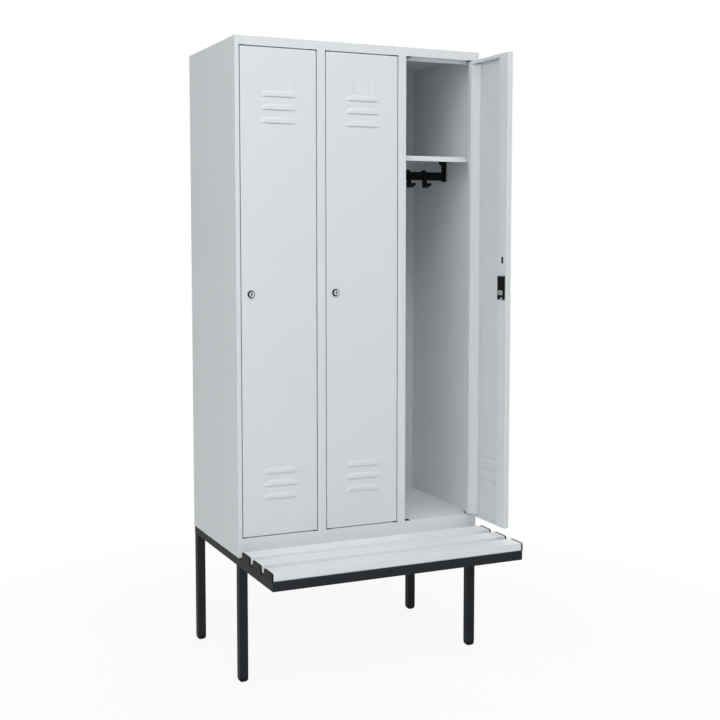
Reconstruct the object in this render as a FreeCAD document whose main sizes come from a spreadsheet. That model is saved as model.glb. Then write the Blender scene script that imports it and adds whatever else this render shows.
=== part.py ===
import FreeCAD, Part

import os
import re

import Sketcher
from FreeCAD import Vector

# Locker with bench: three steel compartments on a tube frame, with a slatted seat in front of the doors.
# Millimetres, +Z up, the front faces -Y. The origin is on the floor, at the middle of the width and depth.

SIZES = {
    # Cabinet
    "body_width": 900,
    "body_depth": 500,
    "body_height": 1700,
    "sheet": 1,
    "edge_post": 15,
    "middle_post": 30,
    "post_depth": 25,
    "top_rail": 30,
    "bottom_rail": 63,
    "rail_return": 25,
    "stop_drop": 11,
    "drain_radius": 4,
    "drain_inset": 27,
    # Frame under the cabinet
    "frame_height": 425,
    "bench_reach": 315,
    "frame_inset": 2,
    "tube_width": 30,
    "tube_wall": 2,
    "foot_height": 16,
    "foot_round": 12,
    "foot_plug_length": 20,
    "plug_clearance": 0.3,
    # Bench
    "slat_width": 70,
    "slat_height": 27,
    "slat_wall": 3,
    "slat_round": 6,
    "slat_pitch": 104,
    "cap_thickness": 5.5,
    "cap_rim": 1.5,
    "cap_plug_length": 7,
    # Bolts of the frame
    "bolt_radius": 3,
    "bolt_clearance": 0.3,
    "bolt_head_radius": 5.5,
    "bolt_head_height": 4,
    "bolt_end": 6,
    "bolt_place": 225,
    # Doors
    "door_gap": 3,
    "hinge_gap": 3.5,
    "door_thickness": 18,
    "lock_flange": 55,
    "hinge_flange": 21,
    "hinge_slope": 2.5,
    "door_lip": 12,
    "door_one_angle": 0,
    "door_two_angle": 0,
    "door_three_angle": 90,
    # Pivots of the doors
    "hinge_inset": 5.5,
    "hinge_depth": 5.5,
    "pin_radius": 2.5,
    "pin_inside": 14,
    "pin_clearance": 0.06,
    "bush_length": 16,
    "bush_depth": 12,
    "bush_sole": 34,
    "bush_reach": 21,
    "bush_flange": 2.2,
    "bush_spigot_radius": 4,
    "bush_spigot_length": 5,
    # Ramps that carry the closed door at its lock side
    "guide_length": 20,
    "guide_depth": 21,
    "guide_setback": 1,
    "guide_height": 2.5,
    "guide_toe": 1.6,
    # Air louvres of a door
    "louvre_width": 120,
    "louvre_height": 18,
    "louvre_reach": 4,
    "louvre_taper": 9,
    "louvre_nose": 2.5,
    "louvre_pitch": 42.5,
    "louvre_top_drop": 241,
    "louvre_bottom_rise": 123,
    # Pressed field for a name card
    "card_width": 68,
    "card_height": 40,
    "card_drop": 91,
    "card_depth": 0.4,
    # Lock
    "lock_rise": 803.5,
    "lock_inset": 32,
    "rosette_radius": 12.5,
    "rosette_face_radius": 8.5,
    "rosette_thickness": 8,
    "rosette_rim": 2,
    "barrel_radius": 9,
    "barrel_clearance": 0.2,
    "barrel_end": 2,
    "core_radius": 6.5,
    "core_clearance": 0.06,
    "tail_radius": 4,
    "key_width": 3,
    "key_height": 10.5,
    "key_depth": 9,
    "cam_reach": 45,
    "cam_width": 14,
    "cam_thickness": 2.5,
    "cam_clearance": 0.3,
    "case_width": 36,
    "case_height": 79,
    "case_depth": 8,
    "case_edge": 8,
    "case_drop": 24,
    "notch_width": 26,
    "notch_height": 8,
    "clip_width": 30,
    "clip_height": 16.5,
    "clip_thickness": 1.5,
    "clip_edge": 11,
    "clip_drop": 0.5,
    "clip_hole_radius": 2.5,
    "hasp_height": 23,
    "hasp_width": 13,
    "hasp_rise": 109,
    "hasp_inset": 27,
    "strike_depth": 4.6,
    "strike_rise": 40,
    # Shelf, coat rail and hooks of a compartment
    "shelf_rise": 1274,
    "shelf_lip": 17,
    "shelf_setback": 30,
    "rail_setback": 230,
    "bar_height": 30,
    "bar_depth": 10,
    "bar_drop": 42,
    "bar_side_gap": 4.5,
    "arm_width": 16,
    "arm_tail": 4,
    "arm_foot": 10,
    "arm_foot_thickness": 11,
    "arm_gusset": 7,
    "hook_width": 19,
    "hook_neck": 9,
    "hook_flare": 2.5,
    "hook_wall": 4,
    "hook_clearance": 0.4,
    "hook_grip": 20,
    "hook_crown": 6,
    "hook_drop": 28,
    "hook_thickness": 7,
    "hook_reach": 40,
    "hook_tip": 16,
    "hook_throat": 10,
    "hook_round": 2,
    "hook_pitch": 64,
    "hook_shift": -11,
}

doc = FreeCAD.newDocument("LockerWithBench")
sheet = doc.addObject("Spreadsheet::Sheet", "Sizes")
for row, (word, size) in enumerate(SIZES.items(), 1):
    sheet.set(f"A{row}", word)
    sheet.set(f"B{row}", str(size))
    sheet.setAlias(f"B{row}", word)
doc.recompute()

# Levels and lines that several pieces share
TOTAL_DEPTH = "(body_depth + bench_reach)"
BENCH_FRONT = f"(-{TOTAL_DEPTH} / 2)"
FRONT = f"({BENCH_FRONT} + bench_reach)"
BACK = f"({TOTAL_DEPTH} / 2)"
SIDE = "(body_width / 2)"
BASE = "frame_height"
TOP = "(frame_height + body_height)"
FLOOR = "(frame_height + bottom_rail)"
HEAD = "(frame_height + body_height - top_rail)"
OPENING = "((body_width - 2 * edge_post - 2 * middle_post) / 3)"
PITCH = f"({OPENING} + middle_post)"
POST_BACK = f"({FRONT} + post_depth)"
FRAME_SIDE = f"({SIDE} - frame_inset)"
FRAME_INNER = f"({FRAME_SIDE} - tube_width)"
TUBE_LINE = f"({FRAME_SIDE} - tube_width / 2)"
RAIL_UNDER = "(frame_height - tube_width)"
CROSS_LINE = f"({FRONT} + tube_width / 2)"
BACK_LINE = f"({BACK} - tube_width / 2)"
BOLT_HOLE = "(bolt_radius + bolt_clearance)"

# Lines of a door, measured from its pivot
DOOR_WIDTH = f"({OPENING} - door_gap - hinge_gap)"
DOOR_FREE = f"(hinge_inset - {DOOR_WIDTH})"
DOOR_FACE = "(-hinge_depth)"
DOOR_INNER = "(door_thickness - hinge_depth)"
DOOR_BOTTOM = f"({FLOOR} + door_gap)"
DOOR_TOP = f"({HEAD} - door_gap)"
DOOR_MIDDLE = f"(hinge_gap + hinge_inset - {OPENING} / 2)"
HINGE_Y = f"({FRONT} + hinge_depth)"
LOCK_X = f"({DOOR_FREE} + lock_inset)"
LOCK_Z = f"({DOOR_BOTTOM} + lock_rise)"
CAM_START = f"({DOOR_INNER} + barrel_end + cam_clearance)"
CAM_END = f"({CAM_START} + cam_thickness)"
CASE_START = "(case_edge - lock_inset)"

# Levels inside a compartment
SHELF_TOP = f"({FLOOR} + shelf_rise)"
SHELF_UNDER = f"({SHELF_TOP} - sheet)"
BAR_TOP = f"({SHELF_UNDER} - bar_drop)"
BAR_UNDER = f"({BAR_TOP} - bar_height)"
RAIL_Y = f"({FRONT} + rail_setback)"

COMPARTMENTS = {"1": ("-1", "door_one_angle"), "2": ("0", "door_two_angle"), "3": ("1", "door_three_angle")}
HOOKS = {"left": "-1", "middle": "0", "right": "1"}
SLATS = {"rear": "2", "middle": "1", "front": "0"}
SIDES = {"left": "-1", "right": "1"}
WHOLE_TURN = 360
nodes = []


def formula(text):
    """An expression of the sheet, from the plain words of its aliases."""
    return re.sub(r"[a-z][a-z_]*", lambda word: f"Sizes.{word[0]}" if word[0] in SIZES else word[0], text)


def number(text):
    """What an expression comes to at the present sizes."""
    return float(sheet.evalExpression(formula(text)))


def part_body(label, is_node=True):
    """A new body; a node is written to a file of its own under its label."""
    body = doc.addObject("PartDesign::Body", label)
    body.Label = label
    if is_node:
        nodes.append(body)
    return body


def origin_part(body, role):
    """One of a body's own axes or planes."""
    return next(part for part in body.Origin.OriginFeatures if part.Role == role)


def place(piece, x="0", y="0", z="0", turn="0"):
    """Puts a piece at a point of the shared frame, turned about the vertical."""
    for path, text in (("Base.x", x), ("Base.y", y), ("Base.z", z), ("Rotation.Angle", turn)):
        piece.setExpression(f"Placement.{path}", formula(text))


def new_sketch(body, plane, level):
    """An empty sketch parallel to one of a body's planes, at a level along that plane's axis."""
    sketch = body.newObject("Sketcher::SketchObject", "Sketch")
    sketch.AttachmentSupport = (origin_part(body, f"{plane}_Plane"), [""])
    sketch.MapMode = "FlatFace"
    towards = f"-({level})" if plane == "XZ" else level
    sketch.setExpression("AttachmentOffset.Base.z", formula(towards))
    return sketch


def hold(sketch, kind, text, *geometry):
    """A dimension of a sketch that follows the sheet."""
    index = sketch.addConstraint(Sketcher.Constraint(kind, *geometry, number(text)))
    sketch.setExpression(f"Constraints[{index}]", formula(text))


def outline(body, plane, level, loops):
    """A sketch of closed loops of straight lines, each corner held from the sketch's origin."""
    sketch = new_sketch(body, plane, level)
    for loop in loops:
        first = sketch.GeometryCount
        corners = [Vector(number(across), number(along), 0) for across, along in loop]
        for start, end in zip(corners, corners[1:] + corners[:1]):
            sketch.addGeometry(Part.LineSegment(start, end))
        for step, (across, along) in enumerate(loop):
            following = first + (step + 1) % len(loop)
            sketch.addConstraint(Sketcher.Constraint("Coincident", first + step, 2, following, 1))
            hold(sketch, "DistanceX", across, -1, 1, first + step, 1)
            hold(sketch, "DistanceY", along, -1, 1, first + step, 1)
    return sketch


def rings(body, plane, level, radius, centres):
    """A sketch of equal circles."""
    sketch = new_sketch(body, plane, level)
    for across, along in centres:
        centre = Vector(number(across), number(along), 0)
        circle = sketch.addGeometry(Part.Circle(centre, Vector(0, 0, 1), number(radius)))
        hold(sketch, "DistanceX", across, -1, 1, circle, 3)
        hold(sketch, "DistanceY", along, -1, 1, circle, 3)
        hold(sketch, "Radius", radius, circle)
    return sketch


def box(left, right, low, high):
    """The corners of a rectangle."""
    return [(left, low), (right, low), (right, high), (left, high)]


def pad(body, plane, level, length, loops):
    """Adds a prism that runs from a level towards the plus side of the plane's axis."""
    feature = body.newObject("PartDesign::Pad", "Pad")
    feature.Profile = outline(body, plane, level, loops)
    feature.Reversed = plane == "XZ"
    feature.setExpression("Length", formula(length))
    return feature


def round_pad(body, plane, level, length, radius, centres):
    """Adds round studs that run from a level towards the plus side of the plane's axis."""
    feature = body.newObject("PartDesign::Pad", "Pad")
    feature.Profile = rings(body, plane, level, radius, centres)
    feature.Reversed = plane == "XZ"
    feature.setExpression("Length", formula(length))
    return feature


def cut(body, sketch, plane, length):
    """Removes a sketch's area from its level towards the plus side of the plane's axis."""
    feature = body.newObject("PartDesign::Pocket", "Pocket")
    feature.Profile = sketch
    feature.Reversed = plane != "XZ"
    feature.setExpression("Length", formula(length))
    return feature


def pocket(body, plane, level, length, loops):
    """Removes a prism."""
    return cut(body, outline(body, plane, level, loops), plane, length)


def drill(body, plane, level, length, radius, centres):
    """Removes round holes."""
    return cut(body, rings(body, plane, level, radius, centres), plane, length)


def turned(body, loop):
    """Adds a body of revolution about its own Y axis: radius across, depth along."""
    feature = body.newObject("PartDesign::Revolution", "Revolution")
    feature.Profile = outline(body, "XY", "0", [loop])
    feature.ReferenceAxis = (origin_part(body, "Y_Axis"), [""])
    feature.Angle = WHOLE_TURN
    return feature


def round_off(body, feature, radius, is_chosen):
    """Rounds the edges of a feature that pass a test."""
    doc.recompute()
    names = [f"Edge{index}" for index, edge in enumerate(feature.Shape.Edges, 1) if is_chosen(edge.BoundBox)]
    fillet = body.newObject("PartDesign::Fillet", "Fillet")
    fillet.Base = (feature, names)
    fillet.setExpression("Radius", formula(radius))
    return fillet


def cylinder(radius, height, x, y, z):
    """An upright cylinder."""
    stud = doc.addObject("Part::Cylinder", "Cylinder")
    stud.setExpression("Radius", formula(radius))
    stud.setExpression("Height", formula(height))
    place(stud, x, y, z)
    return stud


def group(label, members):
    """Equal pieces that are written together as one node."""
    compound = doc.addObject("Part::Compound", label)
    compound.Label = label
    compound.Links = members
    nodes.append(compound)
    return compound


def same(first, second):
    """Two lengths of a built shape that agree."""
    return abs(first - second) < number("sheet") / 100


# Frame: four mitred rails, a cross rail under the cabinet's front and four legs
def slat_line(step):
    """Where a slat's middle is, from front to back."""
    return f"({BENCH_FRONT} + cap_rim + slat_width / 2 + {step} * slat_pitch)"


def mitred_rail(label, loop, holes):
    """A square tube with mitred ends; the loop gives its corners between two depths from the outer edge."""
    body = part_body(label)
    pad(body, "XY", RAIL_UNDER, "tube_width", [loop("0", "tube_width")])
    hollow = loop("tube_wall", "(tube_width - tube_wall)")
    pocket(body, "XY", f"{RAIL_UNDER} + tube_wall", "tube_width - 2 * tube_wall", [hollow])
    if holes:
        drill(body, "XY", RAIL_UNDER, "tube_width", BOLT_HOLE, holes)


def side_rail(label, side):
    """A rail from the bench's front to the cabinet's back."""
    def loop(outer, inner):
        return [
            (f"{side} * ({FRAME_SIDE} - {outer})", f"{BENCH_FRONT} + {outer}"),
            (f"{side} * ({FRAME_SIDE} - {outer})", f"{BACK} - {outer}"),
            (f"{side} * ({FRAME_SIDE} - {inner})", f"{BACK} - {inner}"),
            (f"{side} * ({FRAME_SIDE} - {inner})", f"{BENCH_FRONT} + {inner}"),
        ]
    mitred_rail(label, loop, [(f"{side} * {TUBE_LINE}", slat_line(step)) for step in SLATS.values()])


def end_rail(label, edge, inward, holes):
    """A rail across the frame's front or back edge."""
    def loop(outer, inner):
        return [
            (f"-({FRAME_SIDE} - {outer})", f"{edge} + {inward} * {outer}"),
            (f"{FRAME_SIDE} - {outer}", f"{edge} + {inward} * {outer}"),
            (f"{FRAME_SIDE} - {inner}", f"{edge} + {inward} * {inner}"),
            (f"-({FRAME_SIDE} - {inner})", f"{edge} + {inward} * {inner}"),
        ]
    mitred_rail(label, loop, holes)


for side_name, side in SIDES.items():
    side_rail(f"frame_rail_{side_name}", side)
back_holes = [(f"{side} * bolt_place", BACK_LINE) for side in SIDES.values()]
cross_holes = [(f"{side} * bolt_place", CROSS_LINE) for side in SIDES.values()]
end_rail("frame_rail_front", BENCH_FRONT, "1", [])
end_rail("frame_rail_back", BACK, "-1", back_holes)

cross_rail = part_body("frame_rail_cross")
pad(cross_rail, "YZ", f"-{FRAME_INNER}", f"2 * {FRAME_INNER}", [
    box(FRONT, f"{FRONT} + tube_width", RAIL_UNDER, BASE),
    box(f"{FRONT} + tube_wall", f"{FRONT} + tube_width - tube_wall",
        f"{RAIL_UNDER} + tube_wall", f"{BASE} - tube_wall"),
])
drill(cross_rail, "XY", RAIL_UNDER, "tube_width", BOLT_HOLE, cross_holes)

TUBE_HALF = "(tube_width / 2)"
TUBE_BORE = f"({TUBE_HALF} - tube_wall)"
PLUG_HALF = f"({TUBE_BORE} - plug_clearance)"


def square(half):
    """The corners of a square about the origin."""
    return box(f"-{half}", half, f"-{half}", half)


feet = []
for end_name, line in (("front", CROSS_LINE), ("back", BACK_LINE)):
    for side_name, side in SIDES.items():
        leg = part_body(f"leg_{end_name}_{side_name}")
        pad(leg, "XY", "foot_height", f"{RAIL_UNDER} - foot_height", [square(TUBE_HALF), square(TUBE_BORE)])
        foot = part_body(f"foot_{end_name}_{side_name}", is_node=False)
        block = pad(foot, "XY", "0", "foot_height", [square(TUBE_HALF)])
        round_off(foot, block, "foot_round", lambda bounds: same(bounds.ZMax, 0))
        pad(foot, "XY", "foot_height", "foot_plug_length", [square(PLUG_HALF)])
        feet.append(foot)
        for upright in (leg, foot):
            place(upright, f"{side} * {TUBE_LINE}", line)
group("foot_glides", feet)

# Bench: three hollow slats with rounded upper edges and a cap on each end
SLAT_HALF = "(slat_width / 2)"
SLAT_RUN = f"({SIDE} - cap_thickness)"


def slat_profile(body, level, length, rim):
    """Adds a slat's outer shape, larger by a rim at its front, back and top."""
    half, height = f"({SLAT_HALF} + {rim})", f"slat_height + {rim}"
    block = pad(body, "YZ", level, length, [box(f"-{half}", half, "0", height)])
    crest = number(height)
    edge = number(half)
    return round_off(body, block, f"slat_round + {rim}", lambda bounds: same(bounds.ZMin, crest)
                     and same(bounds.YLength, 0) and same(abs(bounds.YMin), edge))


def slat_chamber(side):
    """One of a slat's two hollows, cut off at the corner that is rounded outside."""
    return [
        (f"{side} * slat_wall / 2", "slat_wall"),
        (f"{side} * ({SLAT_HALF} - slat_wall)", "slat_wall"),
        (f"{side} * ({SLAT_HALF} - slat_wall)", "slat_height - slat_round"),
        (f"{side} * ({SLAT_HALF} - slat_round)", "slat_height - slat_wall"),
        (f"{side} * slat_wall / 2", "slat_height - slat_wall"),
    ]


def cap_peg(side):
    """The part of an end cap that fills the lower part of a hollow."""
    low = "(slat_wall + plug_clearance)"
    high = "(slat_height - slat_round - plug_clearance)"
    return box(f"{side} * (slat_wall / 2 + plug_clearance)",
               f"{side} * ({SLAT_HALF} - slat_wall - plug_clearance)", low, high)


caps = []
bolts = []


def bolt(x, y, reach):
    """A hexagon bolt that goes up through a rail."""
    head = doc.addObject("Part::Prism", "Head")
    head.Polygon = 6
    head.setExpression("Circumradius", formula("bolt_head_radius"))
    head.setExpression("Height", formula("bolt_head_height"))
    place(head, x, y, f"{RAIL_UNDER} - bolt_head_height")
    shank = cylinder("bolt_radius", f"tube_width + {reach} + bolt_end", x, y, RAIL_UNDER)
    joined = doc.addObject("Part::MultiFuse", "Bolt")
    joined.Shapes = [head, shank]
    bolts.append(joined)


for slat_name, step in SLATS.items():
    slat = part_body(f"bench_slat_{slat_name}")
    slat_profile(slat, f"-{SLAT_RUN}", f"2 * {SLAT_RUN}", "0")
    for side in SIDES.values():
        pocket(slat, "YZ", f"-{SLAT_RUN}", f"2 * {SLAT_RUN}", [slat_chamber(side)])
    pilot = [(f"{side} * {TUBE_LINE}", "0") for side in SIDES.values()]
    drill(slat, "XY", "0", "slat_height - slat_wall", BOLT_HOLE, pilot)
    place(slat, "0", slat_line(step), BASE)
    for side_name, side in SIDES.items():
        cap = part_body(f"cap_{slat_name}_{side_name}", is_node=False)
        slat_profile(cap, "-cap_thickness", "cap_thickness", "cap_rim")
        for peg_side in SIDES.values():
            pad(cap, "YZ", "0", "cap_plug_length", [cap_peg(peg_side)])
        place(cap, f"{side} * {SLAT_RUN}", slat_line(step), BASE, f"90 + {side} * 90")
        caps.append(cap)
        bolt(f"{side} * {TUBE_LINE}", slat_line(step), "slat_wall")
group("slat_end_caps", caps)
for x, y in cross_holes + back_holes:
    bolt(x, y, "sheet")
group("frame_bolts", bolts)

# Cabinet: folded sheet panels
STRIKE_START = f"({FRONT} + hinge_depth + {CAM_START} + cam_thickness / 2 - strike_depth / 2)"


def strike(body, jamb):
    """A slot in a post's right wall for the lock's cam."""
    low = f"{LOCK_Z} - cam_width"
    pocket(body, "YZ", f"{jamb} - sheet", "sheet", [
        box(STRIKE_START, f"{STRIKE_START} + strike_depth", low, f"{LOCK_Z} + strike_rise"),
    ])


for side_name, side in SIDES.items():
    panel = part_body(f"side_panel_{side_name}")
    wall = f"{side} * {SIDE}"
    inner_wall = f"{side} * ({SIDE} - sheet)"
    pad(panel, "XY", BASE, f"{TOP} - sheet - {BASE}", [
        [
            (wall, BACK),
            (wall, FRONT),
            (f"{side} * ({SIDE} - edge_post)", FRONT),
            (f"{side} * ({SIDE} - edge_post)", POST_BACK),
            (inner_wall, POST_BACK),
            (inner_wall, BACK),
        ],
        box(inner_wall, f"{side} * ({SIDE} - edge_post + sheet)",
            f"{FRONT} + sheet", f"{POST_BACK} - sheet"),
    ])
    if side_name == "left":
        strike(panel, f"(edge_post - {SIDE})")

for side_name, side in SIDES.items():
    partition = part_body(f"partition_{side_name}")
    middle = f"{side} * {PITCH} / 2"
    post = "middle_post / 2"
    pad(partition, "XY", FLOOR, f"{HEAD} - {FLOOR}", [
        box(f"{middle} - {post}", f"{middle} + {post}", FRONT, POST_BACK),
        box(f"{middle} - {post} + sheet", f"{middle} + {post} - sheet",
            f"{FRONT} + sheet", f"{POST_BACK} - sheet"),
    ])
    pad(partition, "XY", FLOOR, f"{TOP} - sheet - {FLOOR}", [
        box(f"{middle} - sheet / 2", f"{middle} + sheet / 2", POST_BACK, f"{BACK} - sheet"),
    ])
    strike(partition, f"({middle} + {post})")

back_panel = part_body("back_panel")
pad(back_panel, "XZ", f"{BACK} - sheet", "sheet", [
    box(f"sheet - {SIDE}", f"{SIDE} - sheet", BASE, f"{TOP} - sheet"),
])


def hinge_x(step):
    """Where a door's pivot is across the cabinet."""
    return f"({step} * {PITCH} + {OPENING} / 2 - hinge_gap - hinge_inset)"


hinges = [(hinge_x(step), HINGE_Y) for step, _ in COMPARTMENTS.values()]
drains = [(f"{step} * {PITCH} + {OPENING} / 2 - drain_inset / 2", f"{BACK} - drain_inset")
          for step, _ in COMPARTMENTS.values()]
BETWEEN = f"({SIDE} - edge_post)"

top_panel = part_body("top_panel")
pad(top_panel, "YZ", f"-{BETWEEN}", f"2 * {BETWEEN}", [[
    (f"{FRONT} + rail_return", HEAD),
    (FRONT, HEAD),
    (FRONT, TOP),
    (f"{FRONT} + rail_return", TOP),
    (f"{FRONT} + rail_return", f"{TOP} - sheet"),
    (f"{FRONT} + sheet", f"{TOP} - sheet"),
    (f"{FRONT} + sheet", f"{HEAD} + sheet"),
    (f"{FRONT} + rail_return", f"{HEAD} + sheet"),
]])
pad(top_panel, "XY", f"{TOP} - sheet", "sheet", [box(f"-{SIDE}", SIDE, FRONT, BACK)])
pad(top_panel, "XZ", f"{FRONT} + rail_return - sheet", "sheet", [
    box(f"{step} * {PITCH} - {OPENING} / 2 + sheet", f"{step} * {PITCH} + {OPENING} / 2 - sheet",
        f"{HEAD} - stop_drop", HEAD)
    for step, _ in COMPARTMENTS.values()
])
drill(top_panel, "XY", HEAD, "sheet", "bush_spigot_radius + plug_clearance", hinges)

floor_panel = part_body("floor_panel")
pad(floor_panel, "YZ", f"-{BETWEEN}", f"2 * {BETWEEN}", [[
    (f"{FRONT} + tube_width", BASE),
    (FRONT, BASE),
    (FRONT, FLOOR),
    (f"{POST_BACK} + sheet", FLOOR),
    (f"{POST_BACK} + sheet", f"{FLOOR} - sheet"),
    (f"{FRONT} + sheet", f"{FLOOR} - sheet"),
    (f"{FRONT} + sheet", f"{BASE} + sheet"),
    (f"{FRONT} + tube_width", f"{BASE} + sheet"),
]])
pad(floor_panel, "XY", f"{FLOOR} - sheet", "sheet", [
    box(f"sheet - {SIDE}", f"{SIDE} - sheet", POST_BACK, f"{BACK} - sheet"),
])
pad(floor_panel, "YZ", f"sheet - {SIDE}", f"2 * ({SIDE} - sheet)", [[
    (f"{BACK} - sheet", FLOOR),
    (f"{BACK} - sheet", BASE),
    (f"{BACK} - tube_width", BASE),
    (f"{BACK} - tube_width", f"{BASE} + sheet"),
    (f"{BACK} - 2 * sheet", f"{BASE} + sheet"),
    (f"{BACK} - 2 * sheet", FLOOR),
]])
drill(floor_panel, "XY", f"{FLOOR} - sheet", "sheet", "bush_spigot_radius + plug_clearance", hinges)
drill(floor_panel, "XY", f"{FLOOR} - sheet", "sheet", "drain_radius", drains)
drill(floor_panel, "XY", BASE, "sheet", BOLT_HOLE, cross_holes + back_holes)

# Pivot bushes at the hinge side and ramps at the lock side of each opening, above and below the door
bushes = []
guides = []
for name, (step, _) in COMPARTMENTS.items():
    x = hinge_x(step)
    lock_jamb = f"({step} * {PITCH} - {OPENING} / 2)"
    half = "bush_length / 2"
    for end_name, block, spigot, depth, reach in (
        ("upper", f"({HEAD} - bush_flange)", HEAD, "bush_depth", "bush_reach"),
        ("lower", FLOOR, f"({FLOOR} - bush_spigot_length)", "bush_sole", half),
    ):
        bush = part_body(f"bush_{end_name}_{name}", is_node=False)
        near = f"{HINGE_Y} - bush_depth / 2 + sheet"
        pad(bush, "XY", block, "bush_flange", [
            box(f"{x} - {reach}", f"{x} + {half}", near, f"{near} + {depth}"),
        ])
        round_pad(bush, "XY", spigot, "bush_spigot_length", "bush_spigot_radius", [(x, HINGE_Y)])
        through = "bush_flange + bush_spigot_length"
        drill(bush, "XY", f"min({block}; {spigot})", through, "pin_radius + pin_clearance", [(x, HINGE_Y)])
        bushes.append(bush)
    for end_name, level, towards in (("upper", HEAD, "-1"), ("lower", FLOOR, "1")):
        guide = part_body(f"guide_{end_name}_{name}", is_node=False)
        pad(guide, "XZ", f"{FRONT} + guide_setback", "guide_depth", [[
            (lock_jamb, level),
            (f"{lock_jamb} + guide_length", level),
            (f"{lock_jamb} + guide_length", f"{level} + {towards} * guide_toe"),
            (lock_jamb, f"{level} + {towards} * guide_height"),
        ]])
        guides.append(guide)
group("hinge_bushes", bushes)
group("door_guides", guides)

# Shelf, coat rail and three sliding hooks of each compartment
HOOK_IN = "(bar_depth / 2 + hook_clearance)"
HOOK_OUT = f"({HOOK_IN} + hook_wall)"
HOOK_UNDER = "(-hook_drop)"
HOOK_TOP = f"({HOOK_UNDER} + hook_tip)"
HOOK_POINT = f"(-({HOOK_IN} + hook_reach))"
CROWN = "(bar_height + hook_clearance)"
HOOK_PROFILE = [
    (HOOK_IN, "bar_height - hook_grip"),
    (HOOK_IN, CROWN),
    (f"-{HOOK_IN}", CROWN),
    (f"-{HOOK_IN}", f"{HOOK_UNDER} + hook_thickness / 2"),
    (f"-({HOOK_IN} + hook_thickness / 2)", HOOK_UNDER),
    (f"-({HOOK_OUT} + hook_thickness)", HOOK_UNDER),
    (HOOK_POINT, f"{HOOK_TOP} - hook_thickness"),
    (HOOK_POINT, HOOK_TOP),
    (f"{HOOK_POINT} + hook_thickness / 2", HOOK_TOP),
    (f"-({HOOK_OUT} + hook_round)", f"{HOOK_UNDER} + hook_throat"),
    (f"-{HOOK_OUT}", f"{HOOK_UNDER} + hook_throat + 2 * hook_round"),
    (f"-{HOOK_OUT}", f"{CROWN} + hook_crown - hook_round"),
    (f"hook_round - {HOOK_OUT}", f"{CROWN} + hook_crown"),
    (f"{HOOK_OUT} - hook_round", f"{CROWN} + hook_crown"),
    (HOOK_OUT, f"{CROWN} + hook_crown - hook_round"),
    (HOOK_OUT, "bar_height - hook_grip"),
]


def hook_shoulder(side):
    """What is cut away beside a hook's strap, which widens under the bar."""
    outer = f"{side} * (hook_width / 2 + hook_round)"
    return [
        (f"{side} * hook_neck / 2", "0"),
        (outer, "-hook_flare * (hook_width + 2 * hook_round - hook_neck) / (hook_width - hook_neck)"),
        (outer, f"{CROWN} + hook_crown + hook_round"),
        (f"{side} * hook_neck / 2", f"{CROWN} + hook_crown + hook_round"),
    ]


def coat_rail(label, left, right):
    """A flat bar between two arms that hang from the shelf."""
    body = part_body(label)
    foot = "(arm_width + arm_foot)"
    under = f"({SHELF_UNDER} - arm_foot_thickness)"
    pad(body, "XZ", f"{RAIL_Y} - bar_depth / 2", "bar_depth", [[
        (left, f"{BAR_UNDER} - arm_tail"),
        (f"{left} + arm_width", f"{BAR_UNDER} - arm_tail"),
        (f"{left} + arm_width", BAR_UNDER),
        (f"{right} - arm_width", BAR_UNDER),
        (f"{right} - arm_width", f"{BAR_UNDER} - arm_tail"),
        (right, f"{BAR_UNDER} - arm_tail"),
        (right, SHELF_UNDER),
        (f"{right} - {foot}", SHELF_UNDER),
        (f"{right} - {foot}", under),
        (f"{right} - arm_width", f"{under} - arm_gusset"),
        (f"{right} - arm_width", BAR_TOP),
        (f"{left} + arm_width", BAR_TOP),
        (f"{left} + arm_width", f"{under} - arm_gusset"),
        (f"{left} + {foot}", under),
        (f"{left} + {foot}", SHELF_UNDER),
        (left, SHELF_UNDER),
    ]])


for name, (step, _) in COMPARTMENTS.items():
    left_face = f"max({step} * {PITCH} - {PITCH} / 2 + sheet / 2; sheet - {SIDE})"
    right_face = f"min({step} * {PITCH} + {PITCH} / 2 - sheet / 2; {SIDE} - sheet)"
    near = f"{FRONT} + shelf_setback"
    far = f"{BACK} - sheet"
    shelf = part_body(f"shelf_{name}")
    pad(shelf, "YZ", left_face, f"{right_face} - {left_face}", [[
        (near, f"{SHELF_TOP} - shelf_lip"),
        (near, SHELF_TOP),
        (far, SHELF_TOP),
        (far, f"{SHELF_TOP} - shelf_lip"),
        (f"{far} - sheet", f"{SHELF_TOP} - shelf_lip"),
        (f"{far} - sheet", SHELF_UNDER),
        (f"{near} + sheet", SHELF_UNDER),
        (f"{near} + sheet", f"{SHELF_TOP} - shelf_lip"),
    ]])
    coat_rail(f"coat_rail_{name}", f"({left_face} + bar_side_gap)", f"({right_face} - bar_side_gap)")
    for hook_name, hook_step in HOOKS.items():
        hook = part_body(f"hook_{name}_{hook_name}")
        strip = pad(hook, "YZ", "-hook_width / 2", "hook_width", [HOOK_PROFILE])
        under = number("bar_height - hook_grip - hook_wall")
        width = number("hook_width")
        round_off(hook, strip, "hook_round", lambda bounds: bounds.ZMax < under
                  and same(bounds.XLength, width))
        for side in SIDES.values():
            pocket(hook, "XZ", f"-({HOOK_OUT} + hook_round)", f"2 * ({HOOK_OUT} + hook_round)",
                   [hook_shoulder(side)])
        place(hook, f"{step} * {PITCH} + hook_shift + {hook_step} * hook_pitch", RAIL_Y, BAR_UNDER)

# Doors: a folded pan with air louvres and a pressed field, on two pins
CARD_LEFT = f"({DOOR_MIDDLE} - card_width / 2)"


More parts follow.
